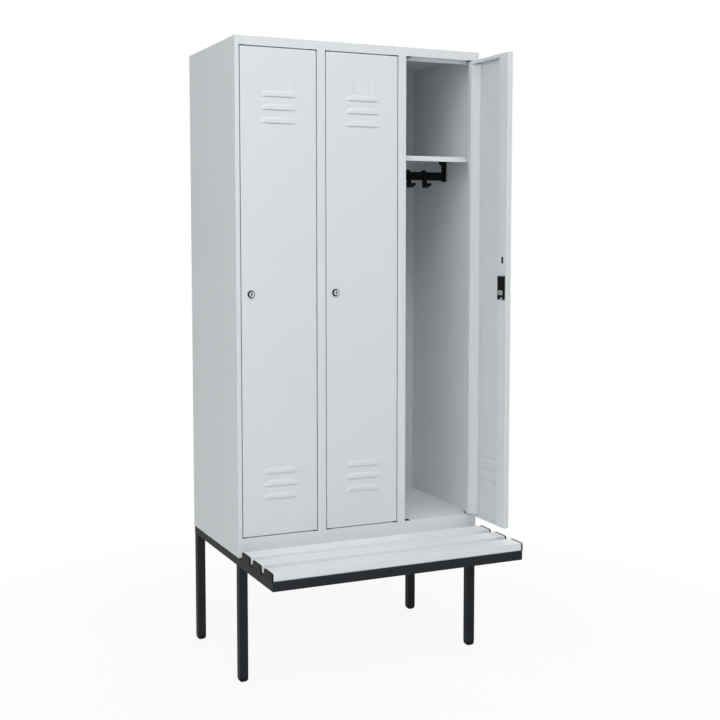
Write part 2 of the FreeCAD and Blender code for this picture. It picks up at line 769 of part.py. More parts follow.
def louvre_wedge(body, kind, wall, level):
    """A hood that leans out from the door's face, or the hollow inside it."""
    wedge = body.newObject(f"PartDesign::{kind}Wedge", "Louvre")
    nose = f"(louvre_width / 2 - louvre_taper - {wall})"
    foot = f"(louvre_width / 2 - {wall})"
    for side, text in {
        "Xmin": f"{DOOR_MIDDLE} - {nose}",
        "Xmax": f"{DOOR_MIDDLE} + {nose}",
        "X2min": f"{DOOR_MIDDLE} - {foot}",
        "X2max": f"{DOOR_MIDDLE} + {foot}",
        "Ymin": f"{DOOR_FACE} - louvre_reach + {wall}",
        "Ymax": f"{DOOR_FACE} + {wall}",
        "Zmin": level,
        "Zmax": f"{level} + louvre_nose - {wall}",
        "Z2min": level,
        "Z2max": f"{level} + louvre_height - {wall}",
    }.items():
        wedge.setExpression(side, formula(text))
    return wedge


def louvres(body, level):
    """Three louvres above one another, from a level up."""
    hood = louvre_wedge(body, "Additive", "0", level)
    hollow = louvre_wedge(body, "Subtractive", "sheet", level)
    pattern = body.newObject("PartDesign::LinearPattern", "Louvres")
    pattern.Originals = [hood, hollow]
    pattern.Direction = (origin_part(body, "Z_Axis"), [""])
    pattern.setExpression("Length", formula("2 * louvre_pitch"))
    pattern.Occurrences = 3
    body.Tip = pattern


def door(label):
    """A door in the frame of its pivot."""
    body = part_body(label)
    pad(body, "XZ", DOOR_FACE, "door_thickness", [box(DOOR_FREE, "hinge_inset", DOOR_BOTTOM, DOOR_TOP)])
    pocket(body, "XZ", f"{DOOR_FACE} + sheet", "door_thickness - 2 * sheet", [
        box(f"{DOOR_FREE} + sheet", "hinge_inset - sheet", f"{DOOR_BOTTOM} + sheet", f"{DOOR_TOP} - sheet"),
    ])
    pocket(body, "XZ", f"{DOOR_INNER} - sheet", "sheet", [
        box(f"{DOOR_FREE} + lock_flange", "hinge_inset - hinge_flange",
            f"{DOOR_BOTTOM} + sheet", f"{DOOR_TOP} - door_lip"),
    ])
    brace_top = "(hinge_inset - hinge_flange)"
    brace_foot = f"({brace_top} - hinge_slope)"
    brace = "sheet * sqrt(1 + (hinge_slope / (door_thickness - sheet)) ^ 2)"
    pad(body, "XY", f"{DOOR_BOTTOM} + sheet", f"{DOOR_TOP} - {DOOR_BOTTOM} - sheet - door_lip", [[
        (brace_foot, f"{DOOR_FACE} + sheet"),
        (f"{brace_foot} + {brace}", f"{DOOR_FACE} + sheet"),
        (f"{brace_top} + {brace}", DOOR_INNER),
        (brace_top, DOOR_INNER),
    ]])
    louvres(body, f"({DOOR_BOTTOM} + louvre_bottom_rise)")
    louvres(body, f"({DOOR_TOP} - louvre_top_drop)")
    card_top = f"({DOOR_TOP} - card_drop)"
    pocket(body, "XZ", DOOR_FACE, "card_depth", [
        box(CARD_LEFT, f"{CARD_LEFT} + card_width", f"{card_top} - card_height", card_top),
    ])
    drill(body, "XZ", DOOR_FACE, "door_thickness", "barrel_radius + barrel_clearance", [(LOCK_X, LOCK_Z)])
    hasp_left = f"({DOOR_FREE} + hasp_inset - hasp_width / 2)"
    hasp_low = f"({LOCK_Z} + hasp_rise - hasp_height / 2)"
    pocket(body, "XZ", f"{DOOR_INNER} - sheet", "sheet", [
        box(hasp_left, f"{hasp_left} + hasp_width", hasp_low, f"{hasp_low} + hasp_height"),
    ])
    drill(body, "XY", DOOR_BOTTOM, f"{DOOR_TOP} - {DOOR_BOTTOM}", "pin_radius", [("0", "0")])
    return body


def hinge_pins(label):
    """The two pins that a door turns on, each pressed into its folded edge."""
    length = "pin_inside + door_gap + bush_spigot_length"
    lower = cylinder("pin_radius", length, "0", "0", f"{FLOOR} - bush_spigot_length")
    upper = cylinder("pin_radius", length, "0", "0", f"{DOOR_TOP} - pin_inside")
    return group(label, [lower, upper])


# Lock of a door, each piece in the frame of the lock's axis
def lock_barrel(label):
    """The fixed housing with its tapered rosette."""
    body = part_body(label)
    bore = "(core_radius + core_clearance)"
    front = f"({DOOR_FACE} - rosette_thickness)"
    back = f"({DOOR_INNER} + barrel_end)"
    turned(body, [
        (bore, front),
        ("rosette_face_radius", front),
        ("rosette_radius", f"({DOOR_FACE} - rosette_rim)"),
        ("rosette_radius", DOOR_FACE),
        ("barrel_radius", DOOR_FACE),
        ("barrel_radius", back),
        (bore, back),
    ])
    return body


def lock_core(label):
    """The core that the key turns, with a tail for the cam."""
    body = part_body(label)
    front = f"({DOOR_FACE} - rosette_thickness)"
    shoulder = f"({DOOR_INNER} + barrel_end)"
    turned(body, [
        ("0", front),
        ("core_radius", front),
        ("core_radius", shoulder),
        ("tail_radius", shoulder),
        ("tail_radius", CAM_END),
        ("0", CAM_END),
    ])
    half = "key_width / 2"
    pocket(body, "XZ", front, "key_depth", [box(f"-{half}", half, "-key_height / 2", "key_height / 2")])
    return body


def lock_cam(label):
    """The plate that turns behind the post; it points up when the door is free."""
    body = part_body(label)
    half = "cam_width / 2"
    blade = pad(body, "XZ", CAM_START, "cam_thickness", [box(f"-{half}", half, f"-{half}", "cam_reach")])
    thickness = number("cam_thickness")
    round_off(body, blade, "cam_width / 2 - sheet", lambda bounds: same(bounds.YLength, thickness)
              and same(bounds.XLength, 0) and same(bounds.ZLength, 0))
    drill(body, "XZ", CAM_START, "cam_thickness", "tail_radius", [("0", "0")])
    return body


def lock_case(label):
    """The cover on the door's inside, open towards the post for the cam."""
    body = part_body(label)
    right = f"({CASE_START} + case_width)"
    low = "(-case_drop)"
    middle = f"({CASE_START} + case_width / 2)"
    pad(body, "XZ", DOOR_INNER, "case_depth", [box(CASE_START, right, low, f"{low} + case_height")])
    sweep = "(cam_width / 2 + barrel_end)"
    pocket(body, "XZ", f"{CAM_START} - cam_clearance", "cam_thickness + 2 * cam_clearance", [
        box(CASE_START, sweep, f"-{sweep}", "cam_reach + barrel_end"),
    ])
    drill(body, "XZ", DOOR_INNER, "barrel_end", "barrel_radius + barrel_clearance", [("0", "0")])
    pocket(body, "XZ", f"{DOOR_INNER} + case_depth - clip_thickness", "clip_thickness", [clip_outline("0")])
    pocket(body, "XZ", DOOR_INNER, "case_depth", [
        box(f"{middle} - notch_width / 2", f"{middle} + notch_width / 2", low, f"{low} + notch_height"),
    ])
    return body


def clip_outline(gap):
    """The corners of the clip's seat in the case, or of the clip inside it."""
    left = "(clip_edge - lock_inset)"
    high = "(clip_height / 2 - clip_drop)"
    return box(f"{left} + {gap}", f"{left} + clip_width - {gap}",
               f"{high} - clip_height + {gap}", f"{high} - {gap}")


def lock_clip(label):
    """The spring clip that holds the lock together, let into the case."""
    body = part_body(label)
    level = f"{DOOR_INNER} + case_depth - clip_thickness"
    pad(body, "XZ", level, "clip_thickness", [clip_outline("plug_clearance")])
    middle = "clip_edge - lock_inset + clip_width / 2"
    drill(body, "XZ", level, "clip_thickness", "clip_hole_radius", [(middle, "-clip_drop")])
    return body


LOCK_PIECES = {
    "barrel": lock_barrel,
    "core": lock_core,
    "cam": lock_cam,
    "case": lock_case,
    "clip": lock_clip,
}
for name, (step, angle) in COMPARTMENTS.items():
    x = hinge_x(step)
    for piece in (door(f"door_{name}"), hinge_pins(f"hinge_pins_{name}")):
        place(piece, x, HINGE_Y, "0", angle)
    for piece_name, make in LOCK_PIECES.items():
        away_x = f"{x} + {LOCK_X} * cos({angle})"
        away_y = f"{HINGE_Y} + {LOCK_X} * sin({angle})"
        place(make(f"lock_{piece_name}_{name}"), away_x, away_y, LOCK_Z, angle)

doc.recompute()
for thing in doc.Objects:
    if "Invalid" in thing.State or "Error" in thing.State:
        raise RuntimeError(f"{thing.Label} could not be built: {thing.State}")
os.makedirs("parts", exist_ok=True)
for node in nodes:
    if node.Shape.isNull() or not node.Shape.isValid():
        raise RuntimeError(f"{node.Label} has no valid shape")
    node.Shape.exportStep(f"parts/{node.Label}.step")
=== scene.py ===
"""Locker with bench: the looks of the part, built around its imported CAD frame.

Metres, +Z up, the front faces -Y, all in the frame of the CAD model.
"""

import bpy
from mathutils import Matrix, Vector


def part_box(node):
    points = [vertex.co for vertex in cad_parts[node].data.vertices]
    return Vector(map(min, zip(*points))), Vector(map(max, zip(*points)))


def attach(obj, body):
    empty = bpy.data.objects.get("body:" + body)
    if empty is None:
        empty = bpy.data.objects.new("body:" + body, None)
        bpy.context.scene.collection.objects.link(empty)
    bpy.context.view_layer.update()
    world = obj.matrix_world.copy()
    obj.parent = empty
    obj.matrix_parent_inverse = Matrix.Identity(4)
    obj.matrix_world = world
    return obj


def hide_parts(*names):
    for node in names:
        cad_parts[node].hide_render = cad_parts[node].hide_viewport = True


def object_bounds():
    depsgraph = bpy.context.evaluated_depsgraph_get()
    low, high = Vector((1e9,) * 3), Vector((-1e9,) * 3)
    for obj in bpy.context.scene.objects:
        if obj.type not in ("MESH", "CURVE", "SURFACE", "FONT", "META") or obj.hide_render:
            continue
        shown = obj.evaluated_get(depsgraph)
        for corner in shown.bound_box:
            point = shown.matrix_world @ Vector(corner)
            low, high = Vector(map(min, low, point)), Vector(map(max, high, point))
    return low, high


bl_info = {
    "name": "Locker with bench",
    "version": (1, 0, 0),
    "blender": (4, 5, 0),
    "location": "3D View > Sidebar > Locker",
    "description": "Sheet steel, bench, locks, hooks and stage of a three door locker on a bench frame",
    "category": "Object",
}

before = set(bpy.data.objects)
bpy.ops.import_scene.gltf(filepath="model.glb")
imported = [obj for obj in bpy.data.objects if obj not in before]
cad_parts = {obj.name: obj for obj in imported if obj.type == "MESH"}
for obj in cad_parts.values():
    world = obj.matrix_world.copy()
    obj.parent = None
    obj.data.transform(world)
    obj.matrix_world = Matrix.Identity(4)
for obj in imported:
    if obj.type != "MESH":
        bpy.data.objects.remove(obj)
cad_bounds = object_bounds()

import math

import bmesh
import bpy
from bpy.props import FloatProperty, FloatVectorProperty, PointerProperty
from bpy.types import NodeSocket, Operator, Panel, PropertyGroup
from mathutils import Euler, Matrix, Vector
from mathutils.geometry import tessellate_polygon

MM = 0.001
IMAGE_WIDTH = 720
TINY = 0.01 * MM
RIGHT_ANGLE = math.pi / 2
SHARP = math.radians(34)
FLAT = math.radians(1)
WHITE = (1, 1, 1, 1)

# How finely curves are drawn
ARC_STEPS = 5
FINE_ARC_STEPS = 10
FOOT_STEPS = 7
TURN_STEPS = 48
DRAIN_STEPS = 24
HOOD_END_STEPS = 9
HOOD_CROWN_STEPS = 3
HOOD_RISE_STEPS = 12
HEXAGON = 6

# Names and numbers of what repeats
CABINET = "cabinet"
LOUVRES = 3
COMPARTMENTS = ("1", "2", "3")
HOOKS = ("left", "middle", "right")
SIDES = ("left", "right")
SLATS = ("front", "middle", "rear")
LEGS = ("front_left", "front_right", "back_left", "back_right")
LAMPS = ("key", "fill", "back")

# Lines of the cabinet, read from the frame
side_low, side_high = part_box("side_panel_left")
post_low, post_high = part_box("partition_left")
FRONT, BACK, BASE = side_low.y, side_high.y, side_low.z
FLOOR, HEAD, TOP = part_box("floor_panel")[1].z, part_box("door_guides")[1].z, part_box("top_panel")[1].z
POST_LINES = [side_low.x, side_high.x, post_low.x, post_high.x]
ACROSS = POST_LINES + [-line for line in reversed(POST_LINES)]


def linear(code):
    """An sRGB colour in hex as linear red, green and blue."""
    shares = [int(code[at:at + 2], 16) / 255 for at in (0, 2, 4)]
    return tuple(share / 12.92 if share <= 0.04045 else ((share + 0.055) / 1.055) ** 2.4 for share in shares)


def length(name, description, millimetres):
    """A property for a length, with its default in millimetres."""
    return FloatProperty(name=name, description=description, default=millimetres * MM, min=0,
                         precision=4, unit="LENGTH")


def angle(name, description, degrees):
    """A property for an angle, with its default in degrees."""
    return FloatProperty(name=name, description=description, default=math.radians(degrees), subtype="ANGLE",
                         unit="ROTATION")


def level(name, description, share):
    """A property for a plain strength."""
    return FloatProperty(name=name, description=description, default=share, min=0, soft_max=2,
                         subtype="FACTOR")


def power(name, description, watts):
    """A property for the power of a lamp."""
    return FloatProperty(name=name, description=description, default=watts, min=0, unit="POWER")


def position(name, description, metres):
    """A property for a place, with its default in metres."""
    return FloatVectorProperty(name=name, description=description, default=metres, size=3,
                               subtype="TRANSLATION", unit="LENGTH")


def colour(name, description, code):
    """A property for a colour, with its default in sRGB hex."""
    return FloatVectorProperty(name=name, description=description, default=linear(code), min=0, max=1,
                               subtype="COLOR", size=3)


class CabinetSizes(PropertyGroup):
    """Sizes of the folded sheet"""
    sheet: length("Sheet", "Thickness of the steel sheet", 1)
    fold: length("Fold", "Outer radius of a fold", 2)
    post_depth: length("Post depth", "Depth of a folded front post", 25)
    stop_drop: length("Stop drop", "How far the door stop hangs below the head of an opening", 11)
    strike_depth: length("Strike depth", "Depth of the slot for a lock's cam", 4.6)
    strike_edge: length("Strike edge", "Steel between that slot and the post's back", 1.15)
    strike_drop: length("Strike drop", "From the lock's axis down to the slot's lower end", 14)
    strike_rise: length("Strike rise", "From the lock's axis up to the slot's upper end", 40)
    floor_fold: length("Floor fold", "Width of the floor's rear foot", 30)
    drain: length("Drain", "Radius of the drain hole in a compartment's floor", 4)
    drain_inset: length("Drain inset", "From the rear edge to the drain hole", 27)


class DoorSizes(PropertyGroup):
    """Sizes of a door pan"""
    lock_flange: length("Lock flange", "Width of the inner flange at the lock side", 55)
    hinge_flange: length("Hinge flange", "Width of the inner flange at the hinge side", 21)
    hinge_slope: length("Hinge slope", "Width of the sloped brace beside that flange", 36)
    hinge_round: length("Hinge round", "Radius at the foot of that brace", 12)
    lip: length("Lip", "Width of the inner flange at the top", 12)
    sole: length("Sole", "Width of the rim at the bottom", 3)
    louvre_width: length("Louvre width", "Length of a louvre's slit", 120)
    louvre_height: length("Louvre height", "Height of a louvre's hood", 18)
    louvre_reach: length("Louvre reach", "How far a hood stands out at its slit", 2.8)
    louvre_corner: length("Louvre corner", "Length of a hood's rounded end", 27)
    louvre_pitch: length("Louvre pitch", "From one slit to the next", 42.5)
    louvre_rise: length("Louvre rise", "From the door's lower edge to the lowest slit", 123)
    louvre_drop: length("Louvre drop", "From the door's upper edge to the upper group's lowest slit", 241)
    card_width: length("Card width", "Width of the pressed field for a name card", 68)
    card_height: length("Card height", "Height of that field", 40)
    card_drop: length("Card drop", "From the door's upper edge to that field", 91)
    card_depth: length("Card depth", "Depth of that field", 0.9)
    card_slope: length("Card slope", "Width of the sloped border of that field", 1.5)
    hasp_width: length("Hasp width", "Width of the slot in the inner flange", 13)
    hasp_height: length("Hasp height", "Height of that slot", 23)
    hasp_inset: length("Hasp inset", "From the free edge to the middle of that slot", 27)
    hasp_rise: length("Hasp rise", "From the lock's axis up to the middle of that slot", 109)


class LockSizes(PropertyGroup):
    """Sizes of a cylinder lock"""
    rosette: length("Rosette", "Radius of the tapered rosette at the door", 12.5)
    face: length("Face", "Radius of its bright front face", 8.5)
    rim: length("Rim", "Height of its upright rim", 2)
    barrel: length("Barrel", "Radius of the barrel behind it", 9)
    core: length("Core", "Radius of the core that the key turns", 6.5)
    play: length("Play", "Gap round the core", 0.2)
    recess: length("Recess", "How far the core lies back in the face", 0.5)
    tail: length("Tail", "Radius of the core's rear end", 4)
    key_width: length("Key width", "Width of the key slot", 4.6)
    key_height: length("Key height", "Height of the key slot", 9.5)
    key_depth: length("Key depth", "Depth of the key slot", 7)
    edge: length("Edge", "Rounding of the turned edges", 0.6)
    cover_edge: length("Cover edge", "Rounding of the moulded cover's edges", 0.9)
    clip_edge: length("Clip edge", "Rounding of the stamped edges", 0.25)


class FrameSizes(PropertyGroup):
    """Sizes of the tube frame"""
    corner: length("Corner", "Outer radius of the square tube's corners", 2.5)
    foot_round: length("Foot round", "Rounding under a foot glide", 12)
    foot_corner: length("Foot corner", "Upright corner radius of a foot glide", 4)
    bolt: length("Bolt", "Circumscribed radius of a bolt's head", 5.5)
    bolt_height: length("Bolt height", "Height of a bolt's head", 4)
    bolt_edge: length("Bolt edge", "Rounding of a bolt's head", 0.5)


class BenchSizes(PropertyGroup):
    """Sizes of the bench"""
    upper_round: length("Upper round", "Radius of a slat's upper edges", 6)
    lower_round: length("Lower round", "Radius of a slat's lower edges", 1.5)
    cap: length("Cap", "Thickness of an end cap", 5.5)
    cap_rim: length("Cap rim", "How far an end cap stands out round a slat", 1.5)
    cap_edge: length("Cap edge", "Rounding of an end cap's outer edge", 1)


class CompartmentSizes(PropertyGroup):
    """Sizes of what hangs inside a compartment"""
    bar_edge: length("Bar edge", "Rounding of the coat bar's edges", 1.2)
    grip: length("Grip", "How far a hook's rear wall reaches down the bar", 20)
    wall: length("Wall", "Thickness of a hook's saddle", 4)
    crown: length("Crown", "Thickness of a hook's crown", 6)
    hook: length("Hook", "Thickness of a hook's tip", 7)
    drop: length("Drop", "How far a hook reaches under the bar", 28)
    tip: length("Tip", "Height of a hook's tip", 16)
    tip_round: length("Tip round", "Radius of a hook's tip and crown", 2.5)
    bend: length("Bend", "Radius of a hook's bend", 5)
    throat: length("Throat", "Height of the throat between a hook's strap and its tip", 10)
    neck: length("Neck", "Width of a hook's strap", 9)
    flare: length("Flare", "How far under the bar a hook reaches its full width", 2.5)
    hook_edge: length("Hook edge", "Rounding of a hook's edges", 1.4)
    bush_edge: length("Bush edge", "Rounding of the pivot bushes and ramps", 0.3)


class Finishes(PropertyGroup):
    """Colours of the finishes"""
    sheet: colour("Sheet", "Light grey powder coat of the cabinet", "DFE3E5")
    tube: colour("Tube", "Black grey powder coat of the frame", "2E3134")
    slat: colour("Slat", "Light grey of the extruded slats", "E8EBED")
    black: colour("Black plastic", "Moulded caps, glides, bars, hooks and covers", "101112")
    zinc: colour("Zinc", "Zinc plated steel", "D0D3D4")
    chrome: colour("Chrome", "Bright plated lock face", "D9DBDC")
    # The rosette colour is a painted dark reflection on the chrome slope of the lock's ring.
    rosette: colour("Rosette", "Dark nickel of the rosette's slope", "3A3D3F")
    floor: colour("Floor", "Pale studio floor", "F4F5F5")


class StageSizes(PropertyGroup):
    """Camera and light"""
    lens: FloatProperty(name="Lens", description="Focal length", default=59.566, min=1, unit="CAMERA")
    place: position("Place", "Where the camera stands", (-1.6951, -3.7671, 1.4738))
    pan: angle("Pan", "How far the camera looks to the right of straight on", 24.644)
    tilt: angle("Tilt", "How far the camera looks down", 4.455)
    rise: FloatProperty(name="Rise", description="Pixels that the picture is shifted up", default=-28,
                        subtype="PIXEL")
    sky: level("Sky", "Strength of the light from all round", 0.18)
    key: power("Key", "Power of the lamp above the front", 148)
    key_place: position("Key place", "Where the lamp above the front hangs", (0.1, -3.6, 6.15))
    key_size: length("Key size", "Edge of the lamp above the front", 3000)
    fill: power("Fill", "Power of the lamp at the left", 122)
    fill_place: position("Fill place", "Where the lamp at the left hangs", (-3.2, -3.05, 3.4))
    fill_size: length("Fill size", "Edge of the lamp at the left", 4500)
    back: power("Back", "Power of the lamp behind the right side", 95)
    back_place: position("Back place", "Where the lamp behind the right side hangs", (3.7, 3.5, 3.2))
    back_size: length("Back size", "Edge of the lamp behind the right side", 4500)
    shadow_start: length("Shadow start", "Distance up to which the floor shows its shadow in full", 500)
    shadow_end: length("Shadow end", "Distance from which the floor is white", 2200)
    floor_white: level("Floor white", "Share of plain white in the floor at the object", 0.9)
    floor_radius: length("Floor radius", "Radius of the studio floor", 40000)


class Locker(PropertyGroup):
    """Everything a user would change"""
    cabinet: PointerProperty(name="Cabinet", description="Folded sheet", type=CabinetSizes)
    door: PointerProperty(name="Doors", description="Door pans", type=DoorSizes)
    lock: PointerProperty(name="Locks", description="Cylinder locks", type=LockSizes)
    tubes: PointerProperty(name="Frame", description="Tube frame", type=FrameSizes)
    bench: PointerProperty(name="Bench", description="Slats and caps", type=BenchSizes)
    inside: PointerProperty(name="Inside", description="Coat bars and hooks", type=CompartmentSizes)
    finish: PointerProperty(name="Finishes", description="Colours", type=Finishes)
    stage: PointerProperty(name="Stage", description="Camera and light", type=StageSizes)


# Nodes and materials

def add_node(tree, kind, fields=None, inputs=None):
    """Adds a node with its settings; an input gets a value, or a link from the socket that feeds it."""
    node = tree.nodes.new(kind)
    for field, value in (fields or {}).items():
        setattr(node, field, value)
    for socket, value in (inputs or {}).items():
        if isinstance(value, NodeSocket):
            tree.links.new(value, node.inputs[socket])
        else:
            node.inputs[socket].default_value = value
    return node


def per_metre(millimetres):
    """The scale of a texture whose features are this large."""
    return 1 / (millimetres * MM)


def shade(tint, share):
    """A colour made darker or lighter, with full opacity."""
    return [min(1, channel * share) for channel in tint] + [1]


def new_material(name):
    """An empty node material, its coordinates and its output."""
    material = bpy.data.materials.new(name)
    material.use_nodes = True
    tree = material.node_tree
    tree.nodes.clear()
    place = add_node(tree, "ShaderNodeTexCoord").outputs["Object"]
    return material, tree, place, add_node(tree, "ShaderNodeOutputMaterial")


def close_skin(tree, output, tint, tones, satin, relief=None, inputs=None):
    """Ends a material: one pattern shades its tint, another its roughness and its relief.

    Tones are a pattern with a dark and a light share; satin is a pattern with the span that it covers and
    the roughness at both ends of it; relief is the strength and the height in millimetres.
    """
    pattern, dark, light = tones
    tone = add_node(tree, "ShaderNodeMix", {"data_type": "RGBA"},
                    {0: pattern, 6: shade(tint, dark), 7: shade(tint, light)})
    pattern, low, high, smooth, rough = satin
    gloss = add_node(tree, "ShaderNodeMapRange", None,
                     {"Value": pattern, "From Min": low, "From Max": high, "To Min": smooth,
                      "To Max": rough})
    skin = add_node(tree, "ShaderNodeBsdfPrincipled", None,
                    {"Base Color": tone.outputs[2], "Roughness": gloss.outputs[0], **(inputs or {})})
    if relief:
        strength, height_mm = relief
        bump = add_node(tree, "ShaderNodeBump", None,
                        {"Strength": strength, "Distance": height_mm * MM, "Height": pattern})
        tree.links.new(bump.outputs["Normal"], skin.inputs["Normal"])
    tree.links.new(skin.outputs["BSDF"], output.inputs["Surface"])


def powder_coat(name, tint, peel_mm, roughness, gloss):
    """Sprayed powder, melted to a closed skin: even colour, soft satin gloss and a fine orange peel.

    The real peel is about a millimetre wide; it is drawn wider, as one pixel covers some four millimetres.
    """
    material, tree, place, output = new_material(name)
    cloud = add_node(tree, "ShaderNodeTexNoise", None,
                     {"Vector": place, "Scale": per_metre(400), "Detail": 2, "Roughness": 0.5})
    peel = add_node(tree, "ShaderNodeTexNoise", None,
                    {"Vector": place, "Scale": per_metre(peel_mm), "Detail": 2, "Roughness": 0.45})
    close_skin(tree, output, tint, (cloud.outputs["Fac"], 0.975, 1.025),
               (peel.outputs["Fac"], 0.3, 0.7, roughness - 0.05, roughness + 0.05), (0.12, 0.05),
               {"IOR": 1.5, "Specular IOR Level": gloss})
    return material


def extruded_pvc(name, tint):
    """PVC drawn through a die: silk matt, with faint lines along its length, drawn wider than real ones."""
    material, tree, place, output = new_material(name)
    along = add_node(tree, "ShaderNodeMapping", None,
                     {"Vector": place, "Scale": (0.6, per_metre(5), per_metre(5))})
    drawn = add_node(tree, "ShaderNodeTexNoise", None,
                     {"Vector": along.outputs["Vector"], "Scale": 1, "Detail": 3, "Roughness": 0.6})
    close_skin(tree, output, tint, (drawn.outputs["Fac"], 0.985, 1.015),
               (drawn.outputs["Fac"], 0.3, 0.7, 0.58, 0.68), (0.15, 0.05), {"IOR": 1.53})
    return material


def moulded_polyamide(name, tint):
    """Black plastic from an eroded mould: matt, with a fine grain, here drawn at two millimetres."""
    material, tree, place, output = new_material(name)
    grain = add_node(tree, "ShaderNodeTexVoronoi", {"feature": "SMOOTH_F1"},
                     {"Vector": place, "Scale": per_metre(2), "Smoothness": 0.6})
    cloud = add_node(tree, "ShaderNodeTexNoise", None,
                     {"Vector": place, "Scale": per_metre(30), "Detail": 3, "Roughness": 0.55})
    close_skin(tree, output, tint, (cloud.outputs["Fac"], 0.85, 1.15),
               (grain.outputs["Distance"], 0, 0.6, 0.46, 0.58), (0.2, 0.06),
               {"IOR": 1.53, "Specular IOR Level": 0.1})
    return material


def plated_metal(name, tint, crystal_mm, smooth, rough):
    """A metal plated in a bath: mirror like, its crystals a little different in tone and gloss."""
    material, tree, place, output = new_material(name)
    crystal = add_node(tree, "ShaderNodeTexVoronoi", None,
                       {"Vector": place, "Scale": per_metre(crystal_mm)})
    patch = add_node(tree, "ShaderNodeSeparateColor", None, {"Color": crystal.outputs["Color"]})
    wipe = add_node(tree, "ShaderNodeTexNoise", None,
                    {"Vector": place, "Scale": per_metre(crystal_mm / 2), "Detail": 3, "Roughness": 0.6})
    close_skin(tree, output, tint, (patch.outputs["Red"], 0.9, 1.06),
               (wipe.outputs["Fac"], 0.3, 0.7, smooth, rough), inputs={"Metallic": 1})
    return material


# Each finish with the field of its colour, its maker and the maker's settings
MAKERS = {
    "Powder-coated sheet steel": ("sheet", powder_coat, {"peel_mm": 4, "roughness": 0.46, "gloss": 0.4}),
    "Powder-coated steel tube": ("tube", powder_coat, {"peel_mm": 3, "roughness": 0.5, "gloss": 0.04}),
    "Extruded PVC": ("slat", extruded_pvc, {}),
    "Moulded polyamide": ("black", moulded_polyamide, {}),
    "Zinc-plated steel": ("zinc", plated_metal, {"crystal_mm": 3, "smooth": 0.4, "rough": 0.55}),
    "Chrome-plated brass": ("chrome", plated_metal, {"crystal_mm": 4, "smooth": 0.12, "rough": 0.2}),
    # This finish is chrome painted dark: a painted reflection on the rosette's slope.
    "Black-nickel zinc alloy": ("rosette", plated_metal, {"crystal_mm": 4, "smooth": 0.22, "rough": 0.32}),
}
SHEET, TUBE, SLAT, BLACK, ZINC, CHROME, ROSETTE_PAINTED_DARK = MAKERS


def material_of(name):
    """A material by name, made when it is first asked for."""
    made = bpy.data.materials.get(name)
    if made is None:
        field, maker, settings = MAKERS[name]
        made = maker(name, getattr(bpy.context.scene.locker.finish, field), **settings)
    return made


# Meshes

def pairs(row):
    """Each value of a row with the next."""
    return list(zip(row, row[1:]))


def looped(row):
    """Each value of a closed row with the next."""
    return list(zip(row, row[1:] + row[:1]))


def lines(*groups):
    """The values of several groups in order, each once."""
    found = []
    for value in sorted(value for group in groups for value in group):
        if not found or value - found[-1] > TINY:
            found.append(value)
    return found


def spread(start, end, steps):
    """Evenly spaced values from a start to an end."""
    return [start + (end - start) * step / steps for step in range(steps + 1)]


def middle(node):
    """The middle of a node's box."""
    low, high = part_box(node)
    return (low + high) / 2


def rectangle(across, along, width, height):
    """The sides of a rectangle about its middle: left, right, low and high."""
    return across - width / 2, across + width / 2, along - height / 2, along + height / 2


def box_loop(left, right, low, high):
    """The corners of a rectangle."""
    return [(left, low), (right, low), (right, high), (left, high)]


def circle(across, along, radius, steps):
    """Points set evenly round a middle."""
    turns = [2 * math.pi * step / steps for step in range(steps)]
    return [(across + radius * math.cos(turn), along + radius * math.sin(turn)) for turn in turns]


def prism(section, axis, ends):
    """Rings of one section at places along an axis."""
    at = "xyz".index(axis)
    return [[(*point[:at], end, *point[at:]) for point in section] for end in ends]


def rounded(corners, radii, steps=ARC_STEPS):
    """A flat loop with its corners rounded, by one radius or by one for each corner."""
    if not isinstance(radii, (list, tuple)):
        radii = [radii] * len(corners)
    points = []
    for at, radius in enumerate(radii):
        corner = Vector(corners[at])
        if radius <= 0:
            points.append(corner)
            continue
        before = (Vector(corners[at - 1]) - corner).normalized()
        after = (Vector(corners[(at + 1) % len(corners)]) - corner).normalized()
        half = before.angle(after) / 2
        centre = corner + (before + after).normalized() * radius / math.sin(half)
        start = (corner + before * radius / math.tan(half) - centre).normalized()
        end = (corner + after * radius / math.tan(half) - centre).normalized()
        points += [centre + radius * start.slerp(end, step / steps) for step in range(steps + 1)]
    return points


def cell(bm, axis, place, first, second, facing):
    """Adds a flat cell across an axis; its spans go along the two axes that follow in turn."""
    across, one, two = ("xyz".index(axis) + step for step in range(3))
    corners = []
    for near, far in ((0, 0), (1, 0), (1, 1), (0, 1)):
        point = Vector()
        point[across], point[one % 3], point[two % 3] = place, first[near], second[far]
        corners.append(bm.verts.new(point))
    bm.faces.new(corners if facing > 0 else corners[::-1])


def add_face(bm, points):
    """Adds a face with corners of its own."""
    bm.faces.new([bm.verts.new(point) for point in points])


def loft(bm, rings):
    """Skins a row of equal rings and closes both ends."""
    made = [[bm.verts.new(point) for point in ring] for ring in rings]
    for one, two in pairs(made):
        for (a, b), (c, d) in zip(looped(one), looped(two)):
            bm.faces.new((a, b, d, c))
    bm.faces.new(made[0][::-1])
    bm.faces.new(made[-1])


def plate(bm, outer, holes, lift, facing):
    """Adds a flat sheet with holes; lift turns flat points into places, facing is the outward direction."""
    loops = [[lift(across, along) for across, along in loop] for loop in (outer, *holes)]
    points = [bm.verts.new(point) for loop in loops for point in loop]
    for corners in tessellate_polygon(loops):
        face = bm.faces.new([points[at] for at in corners])
        face.normal_update()
        if face.normal.dot(facing) < 0:
            face.normal_flip()


def turned(bm, profile, centre, is_closed):
    """Adds a body of revolution about a line along Y; the profile gives radius and depth."""
    rings = []
    for step in range(TURN_STEPS):
        turn = 2 * math.pi * step / TURN_STEPS
        rings.append([(centre.x + radius * math.cos(turn), depth, centre.z + radius * math.sin(turn))
                      for radius, depth in profile])
    made = [[bm.verts.new(point) for point in ring] for ring in rings]
    for one, two in looped(made):
        for (a, b), (c, d) in zip(looped(one) if is_closed else pairs(one),
                                  looped(two) if is_closed else pairs(two)):
            bm.faces.new((a, b, d, c))


